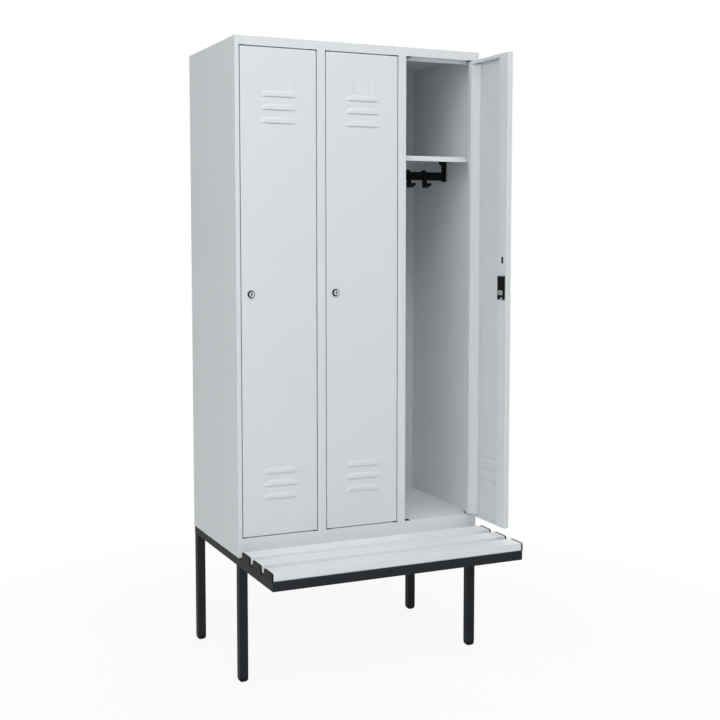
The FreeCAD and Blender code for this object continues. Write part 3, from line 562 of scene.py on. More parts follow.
def weld(bm):
    """Joins the points that lie on each other."""
    bmesh.ops.remove_doubles(bm, verts=bm.verts, dist=TINY)


def mark_folds(bm, is_fold):
    """Marks the right angled edges that pass a test, for the Bevel modifier to round."""
    weights = bm.edges.layers.float.new("bevel_weight_edge")
    for edge in bm.edges:
        if len(edge.link_faces) == 2 and edge.calc_face_angle() > RIGHT_ANGLE / 2:
            edge[weights] = float(is_fold((edge.verts[0].co + edge.verts[1].co) / 2))


def new_object(name, bm, is_solid=True):
    """A plain object from a mesh in the making."""
    if is_solid:
        weld(bm)
        bmesh.ops.recalc_face_normals(bm, faces=bm.faces)
    mesh = bpy.data.meshes.new(name)
    bm.to_mesh(mesh)
    bm.free()
    made = bpy.data.objects.new(name, mesh)
    bpy.context.scene.collection.objects.link(made)
    return made


def lofted(name, rings, matrix=Matrix()):
    """A solid object over a row of equal rings, moved by a matrix."""
    bm = bmesh.new()
    loft(bm, rings)
    bm.transform(matrix)
    return new_object(name, bm)


def modify(piece, kind, **fields):
    """Adds a modifier with its settings."""
    modifier = piece.modifiers.new(kind.title(), kind)
    for field, value in fields.items():
        setattr(modifier, field, value)


def settle(piece):
    """Turns what the modifiers give into the piece's own plain mesh."""
    depsgraph = bpy.context.evaluated_depsgraph_get()
    before = piece.data
    shown = piece.evaluated_get(depsgraph)
    piece.data = bpy.data.meshes.new_from_object(shown, preserve_all_data_layers=True, depsgraph=depsgraph)
    piece.modifiers.clear()
    bpy.data.meshes.remove(before)
    piece.data.name = piece.name


def soften(piece, radius, steps=3):
    """Rounds every sharp edge of a solid."""
    modify(piece, "BEVEL", limit_method="ANGLE", angle_limit=SHARP, width=radius, segments=steps)


def dress(piece, body, slot, nodes, *names):
    """Gives a piece even shading, its finishes, its body and the nodes that it stands for."""
    settle(piece)
    piece.data.shade_smooth()
    piece.data.set_sharp_from_angle(angle=SHARP)
    modify(piece, "WEIGHTED_NORMAL", keep_sharp=True)
    settle(piece)
    if not piece.data.materials:
        for name in names:
            piece.data.materials.append(material_of(name))
    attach(piece, body)
    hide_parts(*nodes)


def add_sheet(name, bm, sizes, body, nodes, is_fold=lambda point: True, matrix=Matrix()):
    """A sheet steel piece: a skin with its folds rounded, given the sheet's thickness inwards."""
    weld(bm)
    mark_folds(bm, is_fold)
    bm.transform(matrix)
    piece = new_object(name, bm, is_solid=False)
    modify(piece, "BEVEL", limit_method="WEIGHT", width=sizes.fold, segments=ARC_STEPS,
           use_clamp_overlap=True)
    modify(piece, "SOLIDIFY", thickness=sizes.sheet, offset=-1, use_even_offset=True)
    dress(piece, body, "light_steel", nodes, SHEET)


def softened_node(name, node, radius, body, slot, finish):
    """A node's own shape with its edges rounded."""
    bm = bmesh.new()
    bm.from_mesh(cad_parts[node].data)
    weld(bm)
    bmesh.ops.dissolve_limit(bm, angle_limit=FLAT, verts=bm.verts, edges=bm.edges)
    piece = new_object(name, bm)
    piece.data.materials.clear()
    soften(piece, radius, steps=2)
    dress(piece, body, slot, [node], finish)


# Geometry Nodes

def new_tree(name, sockets):
    """An empty tree with named inputs and one geometry output."""
    tree = bpy.data.node_groups.new(name, "GeometryNodeTree")
    for socket, kind in sockets.items():
        tree.interface.new_socket(socket, in_out="INPUT", socket_type=f"NodeSocket{kind}")
    tree.interface.new_socket("Geometry", in_out="OUTPUT", socket_type="NodeSocketGeometry")
    return tree, add_node(tree, "NodeGroupInput").outputs


def grow(piece, tree, values):
    """Runs a tree on a piece with these values, and keeps the result as its plain mesh."""
    modifier = piece.modifiers.new(tree.name, "NODES")
    modifier.node_group = tree
    for socket in tree.interface.items_tree:
        if socket.in_out == "INPUT" and socket.name in values:
            modifier[socket.identifier] = values[socket.name]
    settle(piece)


def close_tree(tree, instances, given):
    """Ends a tree: the copies become one mesh with its material."""
    real = add_node(tree, "GeometryNodeRealizeInstances", None, {"Geometry": instances})
    finished = add_node(tree, "GeometryNodeSetMaterial", None,
                        {"Geometry": real.outputs["Geometry"], "Material": given["Material"]})
    add_node(tree, "NodeGroupOutput", None, {"Geometry": finished.outputs["Geometry"]})
    return tree


def slat_tree():
    """Slats in a row: a section with rounded corners, drawn out to a length and set out at a pitch."""
    tree, given = new_tree("Bench slats", {
        "Geometry": "Geometry", "Width": "Float", "Height": "Float", "Length": "Float",
        "Upper Round": "Float", "Lower Round": "Float", "Arc Steps": "Int", "Count": "Int",
        "First": "Vector", "Pitch": "Vector", "Material": "Material",
    })
    section = add_node(tree, "GeometryNodeCurvePrimitiveQuadrilateral", {"mode": "RECTANGLE"},
                       {"Width": given["Width"], "Height": given["Height"]})
    point = add_node(tree, "GeometryNodeInputPosition")
    up = add_node(tree, "ShaderNodeSeparateXYZ", None, {"Vector": point.outputs["Position"]})
    is_upper = add_node(tree, "FunctionNodeCompare", {"operation": "GREATER_THAN"}, {0: up.outputs["Y"]})
    radius = add_node(tree, "GeometryNodeSwitch", {"input_type": "FLOAT"},
                      {"Switch": is_upper.outputs["Result"], "False": given["Lower Round"],
                       "True": given["Upper Round"]})
    soft = add_node(tree, "GeometryNodeFilletCurve", {"mode": "POLY"},
                    {"Curve": section.outputs["Curve"], "Count": given["Arc Steps"],
                     "Radius": radius.outputs["Output"], "Limit Radius": True})
    half = add_node(tree, "ShaderNodeMath", {"operation": "MULTIPLY"}, {0: given["Length"], 1: 0.5})
    minus = add_node(tree, "ShaderNodeMath", {"operation": "MULTIPLY"}, {0: given["Length"], 1: -0.5})
    start = add_node(tree, "ShaderNodeCombineXYZ", None, {"X": minus.outputs["Value"]})
    end = add_node(tree, "ShaderNodeCombineXYZ", None, {"X": half.outputs["Value"]})
    run = add_node(tree, "GeometryNodeCurvePrimitiveLine", {"mode": "POINTS"},
                   {"Start": start.outputs["Vector"], "End": end.outputs["Vector"]})
    upright = add_node(tree, "GeometryNodeSetCurveNormal", {"mode": "Z_UP"}, {"Curve": run.outputs["Curve"]})
    slat = add_node(tree, "GeometryNodeCurveToMesh", None,
                    {"Curve": upright.outputs["Curve"], "Profile Curve": soft.outputs["Curve"],
                     "Fill Caps": True})
    row = add_node(tree, "GeometryNodeMeshLine", {"mode": "OFFSET"},
                   {"Count": given["Count"], "Start Location": given["First"], "Offset": given["Pitch"]})
    copies = add_node(tree, "GeometryNodeInstanceOnPoints", None,
                      {"Points": row.outputs["Mesh"], "Instance": slat.outputs["Mesh"]})
    return close_tree(tree, copies.outputs["Instances"], given)


def fitting_tree():
    """One fitting set at each point of a mesh, turned as the point says."""
    tree, given = new_tree("Repeated fittings", {"Geometry": "Geometry", "Fitting": "Object",
                                                 "Material": "Material"})
    turn = add_node(tree, "GeometryNodeInputNamedAttribute", {"data_type": "FLOAT_VECTOR"}, {"Name": "turn"})
    turning = add_node(tree, "FunctionNodeEulerToRotation", None, {"Euler": turn.outputs["Attribute"]})
    fitting = add_node(tree, "GeometryNodeObjectInfo", {"transform_space": "ORIGINAL"},
                       {"Object": given["Fitting"]})
    copies = add_node(tree, "GeometryNodeInstanceOnPoints", None,
                      {"Points": given["Geometry"], "Instance": fitting.outputs["Geometry"],
                       "Rotation": turning.outputs["Rotation"]})
    return close_tree(tree, copies.outputs["Instances"], given)


def repeat(name, fitting, places, finish, slot, node):
    """A piece of equal fittings on the cabinet; each place is a point and a turn about the vertical."""
    mesh = bpy.data.meshes.new(name)
    mesh.from_pydata([point for point, _ in places], [], [])
    turns = mesh.attributes.new("turn", "FLOAT_VECTOR", "POINT")
    for entry, (_, turn) in zip(turns.data, places):
        entry.vector = (0, 0, turn)
    piece = bpy.data.objects.new(name, mesh)
    bpy.context.scene.collection.objects.link(piece)
    settle(fitting)
    grow(piece, fitting_tree(), {"Fitting": fitting, "Material": material_of(finish)})
    bpy.data.objects.remove(fitting)
    dress(piece, CABINET, slot, [node])


# Doors and locks

class DoorFrame:
    """Lines of a door, measured from its pivot, and its place in the cabinet."""

    def __init__(self, name):
        low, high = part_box("door_1")
        pivot = middle("hinge_pins_1")
        axis = middle("lock_core_1")
        self.free, self.hinged = low.x - pivot.x, high.x - pivot.x
        self.face, self.inner = FRONT - pivot.y, high.y - pivot.y
        self.bottom, self.top = low.z, high.z
        self.middle = (ACROSS[1] + ACROSS[2]) / 2 - pivot.x
        self.lock = Vector((axis.x - pivot.x, 0, axis.z))
        low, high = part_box(f"door_{name}")
        is_open = high.y - low.y > high.x - low.x
        pivot = middle(f"hinge_pins_{name}")
        pivot.z = 0
        self.matrix = Matrix.Translation(pivot) @ Matrix.Rotation(RIGHT_ANGLE * is_open, 4, "Z")

    def is_edge(self, point):
        """Whether a point lies on the outer edge of the pan."""
        return (min(point.x - self.free, self.hinged - point.x) < TINY
                or min(point.z - self.bottom, self.top - point.z) < TINY)

    def hasp(self, sizes):
        """The sides of the slot in the lock flange."""
        return rectangle(self.free + sizes.hasp_inset, self.lock.z + sizes.hasp_rise, sizes.hasp_width,
                         sizes.hasp_height)


def louvre_height(sizes, across, up):
    """How far a louvre's hood stands out; across is from its middle, up from its slit."""
    end = max(0, abs(across) - sizes.louvre_width / 2 + sizes.louvre_corner) / sizes.louvre_corner
    rise = up / sizes.louvre_height
    flatness, hood_curve = 2.2, 0.75
    return sizes.louvre_reach * max(0, 1 - math.hypot(end, rise) ** (2 * flatness)) ** hood_curve


def door_skin(door, sizes, lock, sheet):
    """The outer skin of a door pan: pressed face, folded edges, and the flanges and brace of its inside."""
    bm = bmesh.new()
    half = sizes.louvre_width / 2
    crown = half - sizes.louvre_corner
    hood = spread(crown, half, HOOD_END_STEPS) + spread(0, crown, HOOD_CROWN_STEPS)
    starts = (door.bottom + sizes.louvre_rise, door.top - sizes.louvre_drop)
    slits = [start + step * sizes.louvre_pitch for start in starts for step in range(LOUVRES)]
    card = rectangle(door.middle, door.top - sizes.card_drop - sizes.card_height / 2, sizes.card_width,
                     sizes.card_height)
    slope = sizes.card_slope
    hole = rectangle(door.lock.x, door.lock.z, math.sqrt(2) * lock.rosette, math.sqrt(2) * lock.rosette)
    hasp = door.hasp(sizes)
    brace_top = door.hinged - sizes.hinge_flange
    window = (door.free + sizes.lock_flange, brace_top + sheet.fold, door.bottom + sizes.sole,
              door.top - sizes.lip)
    x_lines = lines(
        (door.free, door.hinged), window[:2], hole[:2], hasp[:2], card[:2],
        (card[0] + slope, card[1] - slope), [door.middle + side * line for side in (-1, 1) for line in hood])
    z_lines = lines(
        (door.bottom, door.top), window[2:], hole[2:], hasp[2:], card[2:],
        (card[2] + slope, card[3] - slope),
        *[spread(slit, slit + sizes.louvre_height, HOOD_RISE_STEPS) for slit in slits])

    def is_within(x, z, left, right, low, high):
        return left + TINY < x < right - TINY and low + TINY < z < high - TINY

    def relief(x, z, slit):
        depth = door.face
        if slit is not None:
            depth -= louvre_height(sizes, x - door.middle, z - slit)
        if is_within(x, z, *card):
            depth += sizes.card_depth
        return Vector((x, depth, z))

    for x_span in pairs(x_lines):
        for z_span in pairs(z_lines):
            x, z = sum(x_span) / 2, sum(z_span) / 2
            slit = next((slit for slit in slits if slit < z < slit + sizes.louvre_height), None)
            is_lock = is_within(x, z, *hole)
            if not is_lock:
                add_face(bm, [relief(x_span[right], z_span[up], slit)
                              for right, up in ((0, 0), (1, 0), (1, 1), (0, 1))])
            if not (is_lock or is_within(x, z, *hasp) or is_within(x, z, *window)):
                cell(bm, "y", door.inner, z_span, x_span, 1)
    seat = door.face + 2 * sheet.sheet
    brace_foot = brace_top - sizes.hinge_slope
    brace = rounded([(window[1], door.inner), (brace_top, door.inner), (brace_foot, seat),
                     (brace_foot - sizes.hinge_round, seat)], [0, sheet.fold, sizes.hinge_round, 0])
    depth = (door.face, door.inner)
    for z_span in pairs(z_lines):
        low, high = z_span
        if window[2] - TINY < low and high < window[3] + TINY:
            for one, two in pairs(brace):
                add_face(bm, [(*one, low), (*one, high), (*two, high), (*two, low)])
        cell(bm, "x", door.free, depth, z_span, -1)
        cell(bm, "x", door.hinged, depth, z_span, 1)
    for x_span in pairs(x_lines):
        cell(bm, "z", door.bottom, x_span, depth, -1)
        cell(bm, "z", door.top, x_span, depth, 1)
    return bm


class LOCKER_OT_doors(Operator):
    """Three door pans with air louvres, a pressed card field and folded inner flanges"""
    bl_idname = "locker.doors"
    bl_label = "Doors"

    def execute(self, context):
        sizes = context.scene.locker
        for name in COMPARTMENTS:
            door = DoorFrame(name)
            bm = door_skin(door, sizes.door, sizes.lock, sizes.cabinet)
            add_sheet(f"door_pan_{name}", bm, sizes.cabinet, f"door_{name}", [f"door_{name}"], door.is_edge,
                      door.matrix)
            softened_node(f"pivot_pins_{name}", f"hinge_pins_{name}", sizes.inside.bush_edge, f"door_{name}",
                          "zinc_steel", ZINC)
            # Adds a black plug in the hasp slot as painted shade.
            self.add_buffer(name, door, sizes.door, sizes.cabinet.sheet)
        return {"FINISHED"}

    @staticmethod
    def add_buffer(name, door, sizes, sheet):
        """A black plug in the slot of the lock flange, let in a little: painted shade where the slot is
        deep.
        """
        loop = rounded(box_loop(*door.hasp(sizes)), sizes.hasp_width / 2 - TINY)
        let_in = sheet / 4
        rings = prism(loop, "y", (door.inner - 2 * sheet, door.inner - let_in))
        # The plug stands for no CAD node; it is painted shade of the slot.
        shade_plug = lofted(f"door_buffer_{name}", rings, door.matrix)
        soften(shade_plug, let_in)
        dress(shade_plug, f"door_{name}", "black_plastic", [], BLACK)


class LOCKER_OT_locks(Operator):
    """Cylinder locks: tapered rosette, core with its key slot, cam, moulded cover and spring clip"""
    bl_idname = "locker.locks"
    bl_label = "Locks"

    def execute(self, context):
        sizes = context.scene.locker.lock
        for name in COMPARTMENTS:
            door = DoorFrame(name)
            self.add_rosette(name, door, sizes)
            self.add_core(name, door, sizes)
            softened_node(f"lock_tongue_{name}", f"lock_cam_{name}", sizes.clip_edge, f"lock_{name}",
                          "zinc_steel", ZINC)
            softened_node(f"lock_cover_{name}", f"lock_case_{name}", sizes.cover_edge, f"door_{name}",
                          "black_plastic", BLACK)
            softened_node(f"lock_spring_{name}", f"lock_clip_{name}", sizes.clip_edge, f"door_{name}",
                          "zinc_steel", ZINC)
        return {"FINISHED"}

    @staticmethod
    def depths():
        """Where a lock's front face and its rear end lie, measured along a closed door's depth."""
        low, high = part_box("lock_barrel_1")
        pivot = middle("hinge_pins_1").y
        return low.y - pivot, high.y - pivot

    def add_rosette(self, name, door, sizes):
        """The fixed ring: bright face, a slope painted dark as a reflection, and the barrel through the
        door.
        """
        front, back = self.depths()
        bore = sizes.core + sizes.play
        profile = rounded([
            (bore, front), (sizes.face, front), (sizes.rosette, door.face - sizes.rim),
            (sizes.rosette, door.face), (sizes.barrel, door.face), (sizes.barrel, back), (bore, back),
        ], [sizes.edge / 2, sizes.edge, sizes.edge, 0, 0, sizes.edge, 0])
        bm = bmesh.new()
        turned(bm, profile, door.lock, is_closed=True)
        # The slope faces take the dark finish: a painted dark reflection.
        for face in bm.faces:
            middle_of = face.calc_center_median()
            reach = math.hypot(middle_of.x - door.lock.x, middle_of.z - door.lock.z)
            is_painted_dark_slope = reach > sizes.face - sizes.edge / 3 and middle_of.y < door.face - TINY
            face.material_index = int(is_painted_dark_slope)
        bm.transform(door.matrix)
        ring = new_object(f"lock_rosette_{name}", bm)
        dress(ring, f"door_{name}", "lock_chrome", [f"lock_barrel_{name}"], CHROME, ROSETTE_PAINTED_DARK)

    def add_core(self, name, door, sizes):
        """The core that the key turns; the walls and floor of its key slot are painted black as painted
        shade.
        """
        front, back = self.depths()
        face = front + sizes.recess
        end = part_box("lock_core_1")[1].y - middle("hinge_pins_1").y
        rim = sizes.core - sizes.edge / 2
        profile = [(rim, face), (sizes.core, face + sizes.edge / 2), (sizes.core, back), (sizes.tail, back),
                   (sizes.tail, end), (0, end)]
        bm = bmesh.new()
        turned(bm, profile, door.lock, is_closed=False)
        ring = circle(door.lock.x, door.lock.z, rim, TURN_STEPS)
        slot = box_loop(*rectangle(door.lock.x, door.lock.z, sizes.key_width, sizes.key_height))
        floor = face + sizes.key_depth
        outward = Vector((0, -1, 0))
        plate(bm, ring, [slot], lambda x, z: Vector((x, face, z)), outward)
        plate(bm, slot, [], lambda x, z: Vector((x, floor, z)), outward)
        for (x_one, z_one), (x_two, z_two) in looped(slot):
            add_face(bm, [(x_one, face, z_one), (x_two, face, z_two), (x_two, floor, z_two),
                          (x_one, floor, z_one)])
        # The key slot's walls and floor take the black finish: painted shade of the deep slot.
        for side in bm.faces:
            place = side.calc_center_median()
            is_painted_slot_shade = (abs(place.x - door.lock.x) < sizes.key_width / 2 + TINY
                         and abs(place.z - door.lock.z) < sizes.key_height / 2 + TINY)
            side.material_index = int(is_painted_slot_shade and face + TINY < place.y < floor + TINY)
        bm.transform(door.matrix)
        core = new_object(f"lock_cylinder_{name}", bm)
        dress(core, f"lock_{name}", "lock_chrome", [f"lock_core_{name}"], CHROME, BLACK)


# Cabinet

class LOCKER_OT_shell(Operator):
    """Welded shell of the cabinet: side walls, top, front posts and rails round the three openings"""
    bl_idname = "locker.shell"
    bl_label = "Cabinet shell"

    def execute(self, context):
        sizes = context.scene.locker.cabinet
        inner = FRONT + sizes.post_depth
        axis = middle("lock_core_1").z
        strike = (inner - sizes.strike_edge - sizes.strike_depth, inner - sizes.strike_edge)
        heights = [BASE, FLOOR, axis - sizes.strike_drop, axis + sizes.strike_rise, HEAD, TOP]
        stop = inner - sizes.sheet
        depths = [FRONT, *strike, stop, inner]
        bm = bmesh.new()
        for step, x_span in enumerate(pairs(ACROSS)):
            is_opening = step % 2 == 1
            cell(bm, "z", TOP, x_span, (FRONT, BACK), 1)
            for z_span in pairs(heights):
                is_between = FLOOR <= z_span[0] < HEAD
                if not (is_opening and is_between):
                    cell(bm, "y", FRONT, z_span, x_span, -1)
                if is_between and not is_opening:
                    wall = max(x_span[0], ACROSS[0] + sizes.sheet), min(x_span[1], ACROSS[-1] - sizes.sheet)
                    cell(bm, "y", inner, z_span, wall, 1)
                if is_between and is_opening:
                    for y_span in pairs(depths):
                        is_strike = y_span[0] == strike[0] and z_span[0] == heights[2]
                        if not is_strike:
                            cell(bm, "x", x_span[0], y_span, z_span, 1)
                        cell(bm, "x", x_span[1], y_span, z_span, -1)
            if is_opening:
                for y_span in pairs(depths):
                    cell(bm, "z", FLOOR, x_span, y_span, 1)
                    if y_span[0] < stop:
                        cell(bm, "z", HEAD, x_span, y_span, -1)
                cell(bm, "y", stop, (HEAD - sizes.stop_drop, HEAD), x_span, -1)
        for z_span in pairs(heights):
            cell(bm, "x", ACROSS[0], (FRONT, BACK), z_span, -1)
            cell(bm, "x", ACROSS[-1], (FRONT, BACK), z_span, 1)
        add_sheet("cabinet_shell", bm, sizes, CABINET, ["side_panel_left", "side_panel_right", "top_panel"],
                  lambda point: point.y < FRONT + TINY or point.z > TOP - TINY)
        return {"FINISHED"}


class LOCKER_OT_panels(Operator):
    """Sheets behind the front: partitions, floor with its drains, back and shelves"""
    bl_idname = "locker.panels"
    bl_label = "Inner panels"

    def execute(self, context):
        sizes = context.scene.locker.cabinet
        inner = FRONT + sizes.post_depth
        rear = BACK - sizes.sheet
        wall = ACROSS[-1] - sizes.sheet
        for name in SIDES:
            bm = bmesh.new()
            web = middle(f"partition_{name}").x + sizes.sheet / 2
            cell(bm, "x", web, (inner, rear), (FLOOR, TOP - sizes.sheet), 1)
            add_sheet(f"partition_web_{name}", bm, sizes, CABINET, [f"partition_{name}"])

        bm = bmesh.new()
        cell(bm, "y", BACK, (BASE, TOP - sizes.sheet), (-wall, wall), 1)
        add_sheet("cabinet_back", bm, sizes, CABINET, ["back_panel"])

        bm = bmesh.new()
        drains = [circle(line - sizes.drain_inset / 2, BACK - sizes.drain_inset, sizes.drain, DRAIN_STEPS)
                  for line in ACROSS[2::2]]
        plate(bm, box_loop(-wall, wall, inner, rear), drains, lambda x, y: Vector((x, y, FLOOR)),
              Vector((0, 0, 1)))
        self.fold(bm, [(rear, FLOOR), (rear, BASE), (BACK - sizes.floor_fold, BASE)], -wall, wall)
        add_sheet("cabinet_floor", bm, sizes, CABINET, ["floor_panel"])

        for name in COMPARTMENTS:
            low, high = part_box(f"shelf_{name}")
            bm = bmesh.new()
            path = [(low.y, low.z), (low.y, high.z), (high.y, high.z), (high.y, low.z)]
            self.fold(bm, path, low.x, high.x)
            add_sheet(f"shelf_sheet_{name}", bm, sizes, CABINET, [f"shelf_{name}"])
        return {"FINISHED"}

    @staticmethod
    def fold(bm, path, left, right):
        """Adds a strip along a path of depth and height, from one side to the other."""
        for (y_one, z_one), (y_two, z_two) in pairs(path):
            add_face(bm, [(left, y_one, z_one), (right, y_one, z_one), (right, y_two, z_two),
                          (left, y_two, z_two)])


# Frame and bench

class LOCKER_OT_tubes(Operator):
    """Square tubes of the frame: four mitred rails, the cross rail and four legs"""
    bl_idname = "locker.tubes"
    bl_label = "Tube frame"

    def execute(self, context):
        corner = context.scene.locker.tubes.corner
        for name in ("left", "right", "front", "back", "cross"):
            low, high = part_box(f"frame_rail_{name}")
            along = "y" if name in SIDES else "x"
            across = "x" if name in SIDES else "y"
            width = getattr(high - low, across)
            section = rounded(box_loop(0, width, low.z, high.z), corner)
            is_mitred = name != "cross"
            is_far = name in ("right", "back")
            outer = getattr(high, across) if is_far else getattr(low, across)
            rings = []
            for end, inward in ((getattr(low, along), 1), (getattr(high, along), -1)):
                ring = []
                for depth, height in section:
                    point = Vector((0, 0, height))
                    setattr(point, across, outer - depth if is_far else outer + depth)
                    setattr(point, along, end + inward * depth * is_mitred)
                    ring.append(point)
                rings.append(ring)
            self.add(f"frame_tube_{name}", rings, f"frame_rail_{name}")
        for name in LEGS:
            low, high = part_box(f"leg_{name}")
            section = rounded(box_loop(low.x, high.x, low.y, high.y), corner)
            self.add(f"leg_tube_{name}", prism(section, "z", (low.z, high.z)), f"leg_{name}")
        return {"FINISHED"}

    @staticmethod
    def add(name, rings, node):
        """One tube from its end rings."""
        dress(lofted(name, rings), CABINET, "dark_tube", [node], TUBE)


class LOCKER_OT_feet(Operator):
    """Foot glides under the legs and the bolts under the rails"""
    bl_idname = "locker.feet"
    bl_label = "Feet and bolts"

    def execute(self, context):
        sizes = context.scene.locker.tubes
        low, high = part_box("leg_front_left")
        half, height = (high.x - low.x) / 2, low.z
        levels = [(half, height)]
        for turn in spread(0, RIGHT_ANGLE, FOOT_STEPS):
            inset = sizes.foot_round * (1 - math.cos(turn))
            levels.append((half - inset, sizes.foot_round * (1 - math.sin(turn))))
        rings = [[(x, y, z) for x, y in rounded(box_loop(-size, size, -size, size), sizes.foot_corner)]
                 for size, z in levels]
        glide = lofted("glide", rings)
        legs = [middle(f"leg_{name}") for name in LEGS]
        places = [((leg.x, leg.y, 0), 0) for leg in legs]
        repeat("foot_caps", glide, places, BLACK, "black_plastic", "foot_glides")

        hexagon = circle(0, 0, sizes.bolt, HEXAGON)
        head = lofted("bolt", prism(hexagon, "z", (-sizes.bolt_height, 0)))
        soften(head, sizes.bolt_edge)
        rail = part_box("frame_rail_left")[0].z
        sides = [middle(f"frame_rail_{name}").x for name in SIDES]
        slats = [middle(f"bench_slat_{name}").y for name in SLATS]
        cross = [middle(f"frame_rail_{name}").y for name in ("cross", "back")]
        quarter = (ACROSS[-1] - ACROSS[0]) / 4
        places = [((x, y, rail), 0) for x in sides for y in slats]
        places += [((x, y, rail), 0) for x in (-quarter, quarter) for y in cross]
        repeat("bolt_heads", head, places, ZINC, "zinc_steel", "frame_bolts")
        return {"FINISHED"}


class LOCKER_OT_bench(Operator):
    """Bench: extruded slats with rounded upper edges and a moulded cap on each end"""
    bl_idname = "locker.bench"
    bl_label = "Bench"

    def execute(self, context):
        sizes = context.scene.locker.bench
        low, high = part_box("bench_slat_front")
        width, height = high.y - low.y, high.z - low.z
        first = middle("bench_slat_front")
        pitch = middle("bench_slat_middle") - first
        slats = new_object("bench_slats", bmesh.new())
        grow(slats, slat_tree(), {
            "Width": width, "Height": height, "Length": high.x - low.x, "Upper Round": sizes.upper_round,
            "Lower Round": sizes.lower_round, "Arc Steps": FINE_ARC_STEPS, "Count": len(SLATS),
            "First": (0, first.y, first.z), "Pitch": (0, pitch.y, 0), "Material": material_of(SLAT),
        })
        dress(slats, CABINET, "slat_plastic", [f"bench_slat_{name}" for name in SLATS])

        reach, upper = width / 2 + sizes.cap_rim, sizes.upper_round + sizes.cap_rim
        section = rounded(box_loop(-reach, reach, -height / 2, height / 2 + sizes.cap_rim),
                          [sizes.lower_round, sizes.lower_round, upper, upper], FINE_ARC_STEPS)
        cap = lofted("cap", prism(section, "x", (0, sizes.cap)))
        soften(cap, sizes.cap_edge)
        places = [((side * high.x, middle(f"bench_slat_{name}").y, first.z), RIGHT_ANGLE * (1 - side))
                  for name in SLATS for side in (-1, 1)]
        repeat("bench_end_caps", cap, places, BLACK, "black_plastic", "slat_end_caps")
        return {"FINISHED"}


# Inside of the compartments

class LOCKER_OT_hooks(Operator):
    """Coat bars that hang from the shelves, and the hooks that slide on them"""
    bl_idname = "locker.hooks"
    bl_label = "Coat bars and hooks"

    def execute(self, context):
        sizes = context.scene.locker.inside
        for name in COMPARTMENTS:
            softened_node(f"coat_bar_{name}", f"coat_rail_{name}", sizes.bar_edge, CABINET, "black_plastic",
                          BLACK)
            bar = middle(f"coat_rail_{name}").y
            for place in HOOKS:
                node = f"hook_{name}_{place}"
                low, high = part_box(node)
                section = self.section(sizes, bar, low, high)
                bm = bmesh.new()
                loft(bm, prism(section, "x", (low.x, high.x)))
                self.narrow(bm, sizes, low.z + sizes.drop, (low.x + high.x) / 2)
                hook = new_object(f"coat_hook_{name}_{place}", bm)
                soften(hook, sizes.hook_edge)
                dress(hook, node, "black_plastic", [node], BLACK)
        return {"FINISHED"}

    @staticmethod
    def narrow(bm, sizes, under, axis):
        """Draws a hook in above the underside of the bar."""
        width = max(vert.co.x for vert in bm.verts) - min(vert.co.x for vert in bm.verts)
        for height in (under, under - sizes.flare):
            bmesh.ops.bisect_plane(bm, geom=[*bm.verts, *bm.edges, *bm.faces], dist=TINY,
                                   plane_co=(0, 0, height), plane_no=(0, 0, 1))
        for vert in bm.verts:
            if vert.co.z > under - TINY:
                vert.co.x = axis + (vert.co.x - axis) * sizes.neck / width

    @staticmethod
    def section(sizes, bar, low, high):
        """A hook's outline: a saddle over the bar, a strap in front of it and a tip that slants up."""
        outer = high.y - bar
        inner = outer - sizes.wall
        crown = high.z - sizes.crown
        corners = {
            (bar + inner, crown - sizes.grip): sizes.hook_edge / 2,
            (bar + inner, crown): sizes.hook_edge / 2,
            (bar - inner, crown): sizes.hook_edge / 2,
            (bar - inner, low.z): sizes.bend,
            (bar - outer - sizes.hook, low.z): sizes.bend,
            (low.y, low.z + sizes.tip - sizes.hook): sizes.tip_round,
            (low.y, low.z + sizes.tip): sizes.tip_round,
            (low.y + sizes.hook / 2, low.z + sizes.tip): sizes.tip_round / 2,
            (bar - outer, low.z + sizes.throat): sizes.bend / 2,
            (bar - outer, high.z): sizes.tip_round,
            (bar + outer, high.z): sizes.tip_round,
            (bar + outer, crown - sizes.grip): sizes.hook_edge / 2,
        }
        return rounded(list(corners), list(corners.values()))


class LOCKER_OT_bushes(Operator):
    """Pivot bushes at the hinge corners of the openings and closing ramps at their lock corners"""
    bl_idname = "locker.bushes"
    bl_label = "Bushes and ramps"

    def execute(self, context):
        edge = context.scene.locker.inside.bush_edge
        for name, node in (("pivot_bushes", "hinge_bushes"), ("closing_ramps", "door_guides")):
            softened_node(name, node, edge, CABINET, "black_plastic", BLACK)
        return {"FINISHED"}


# Stage

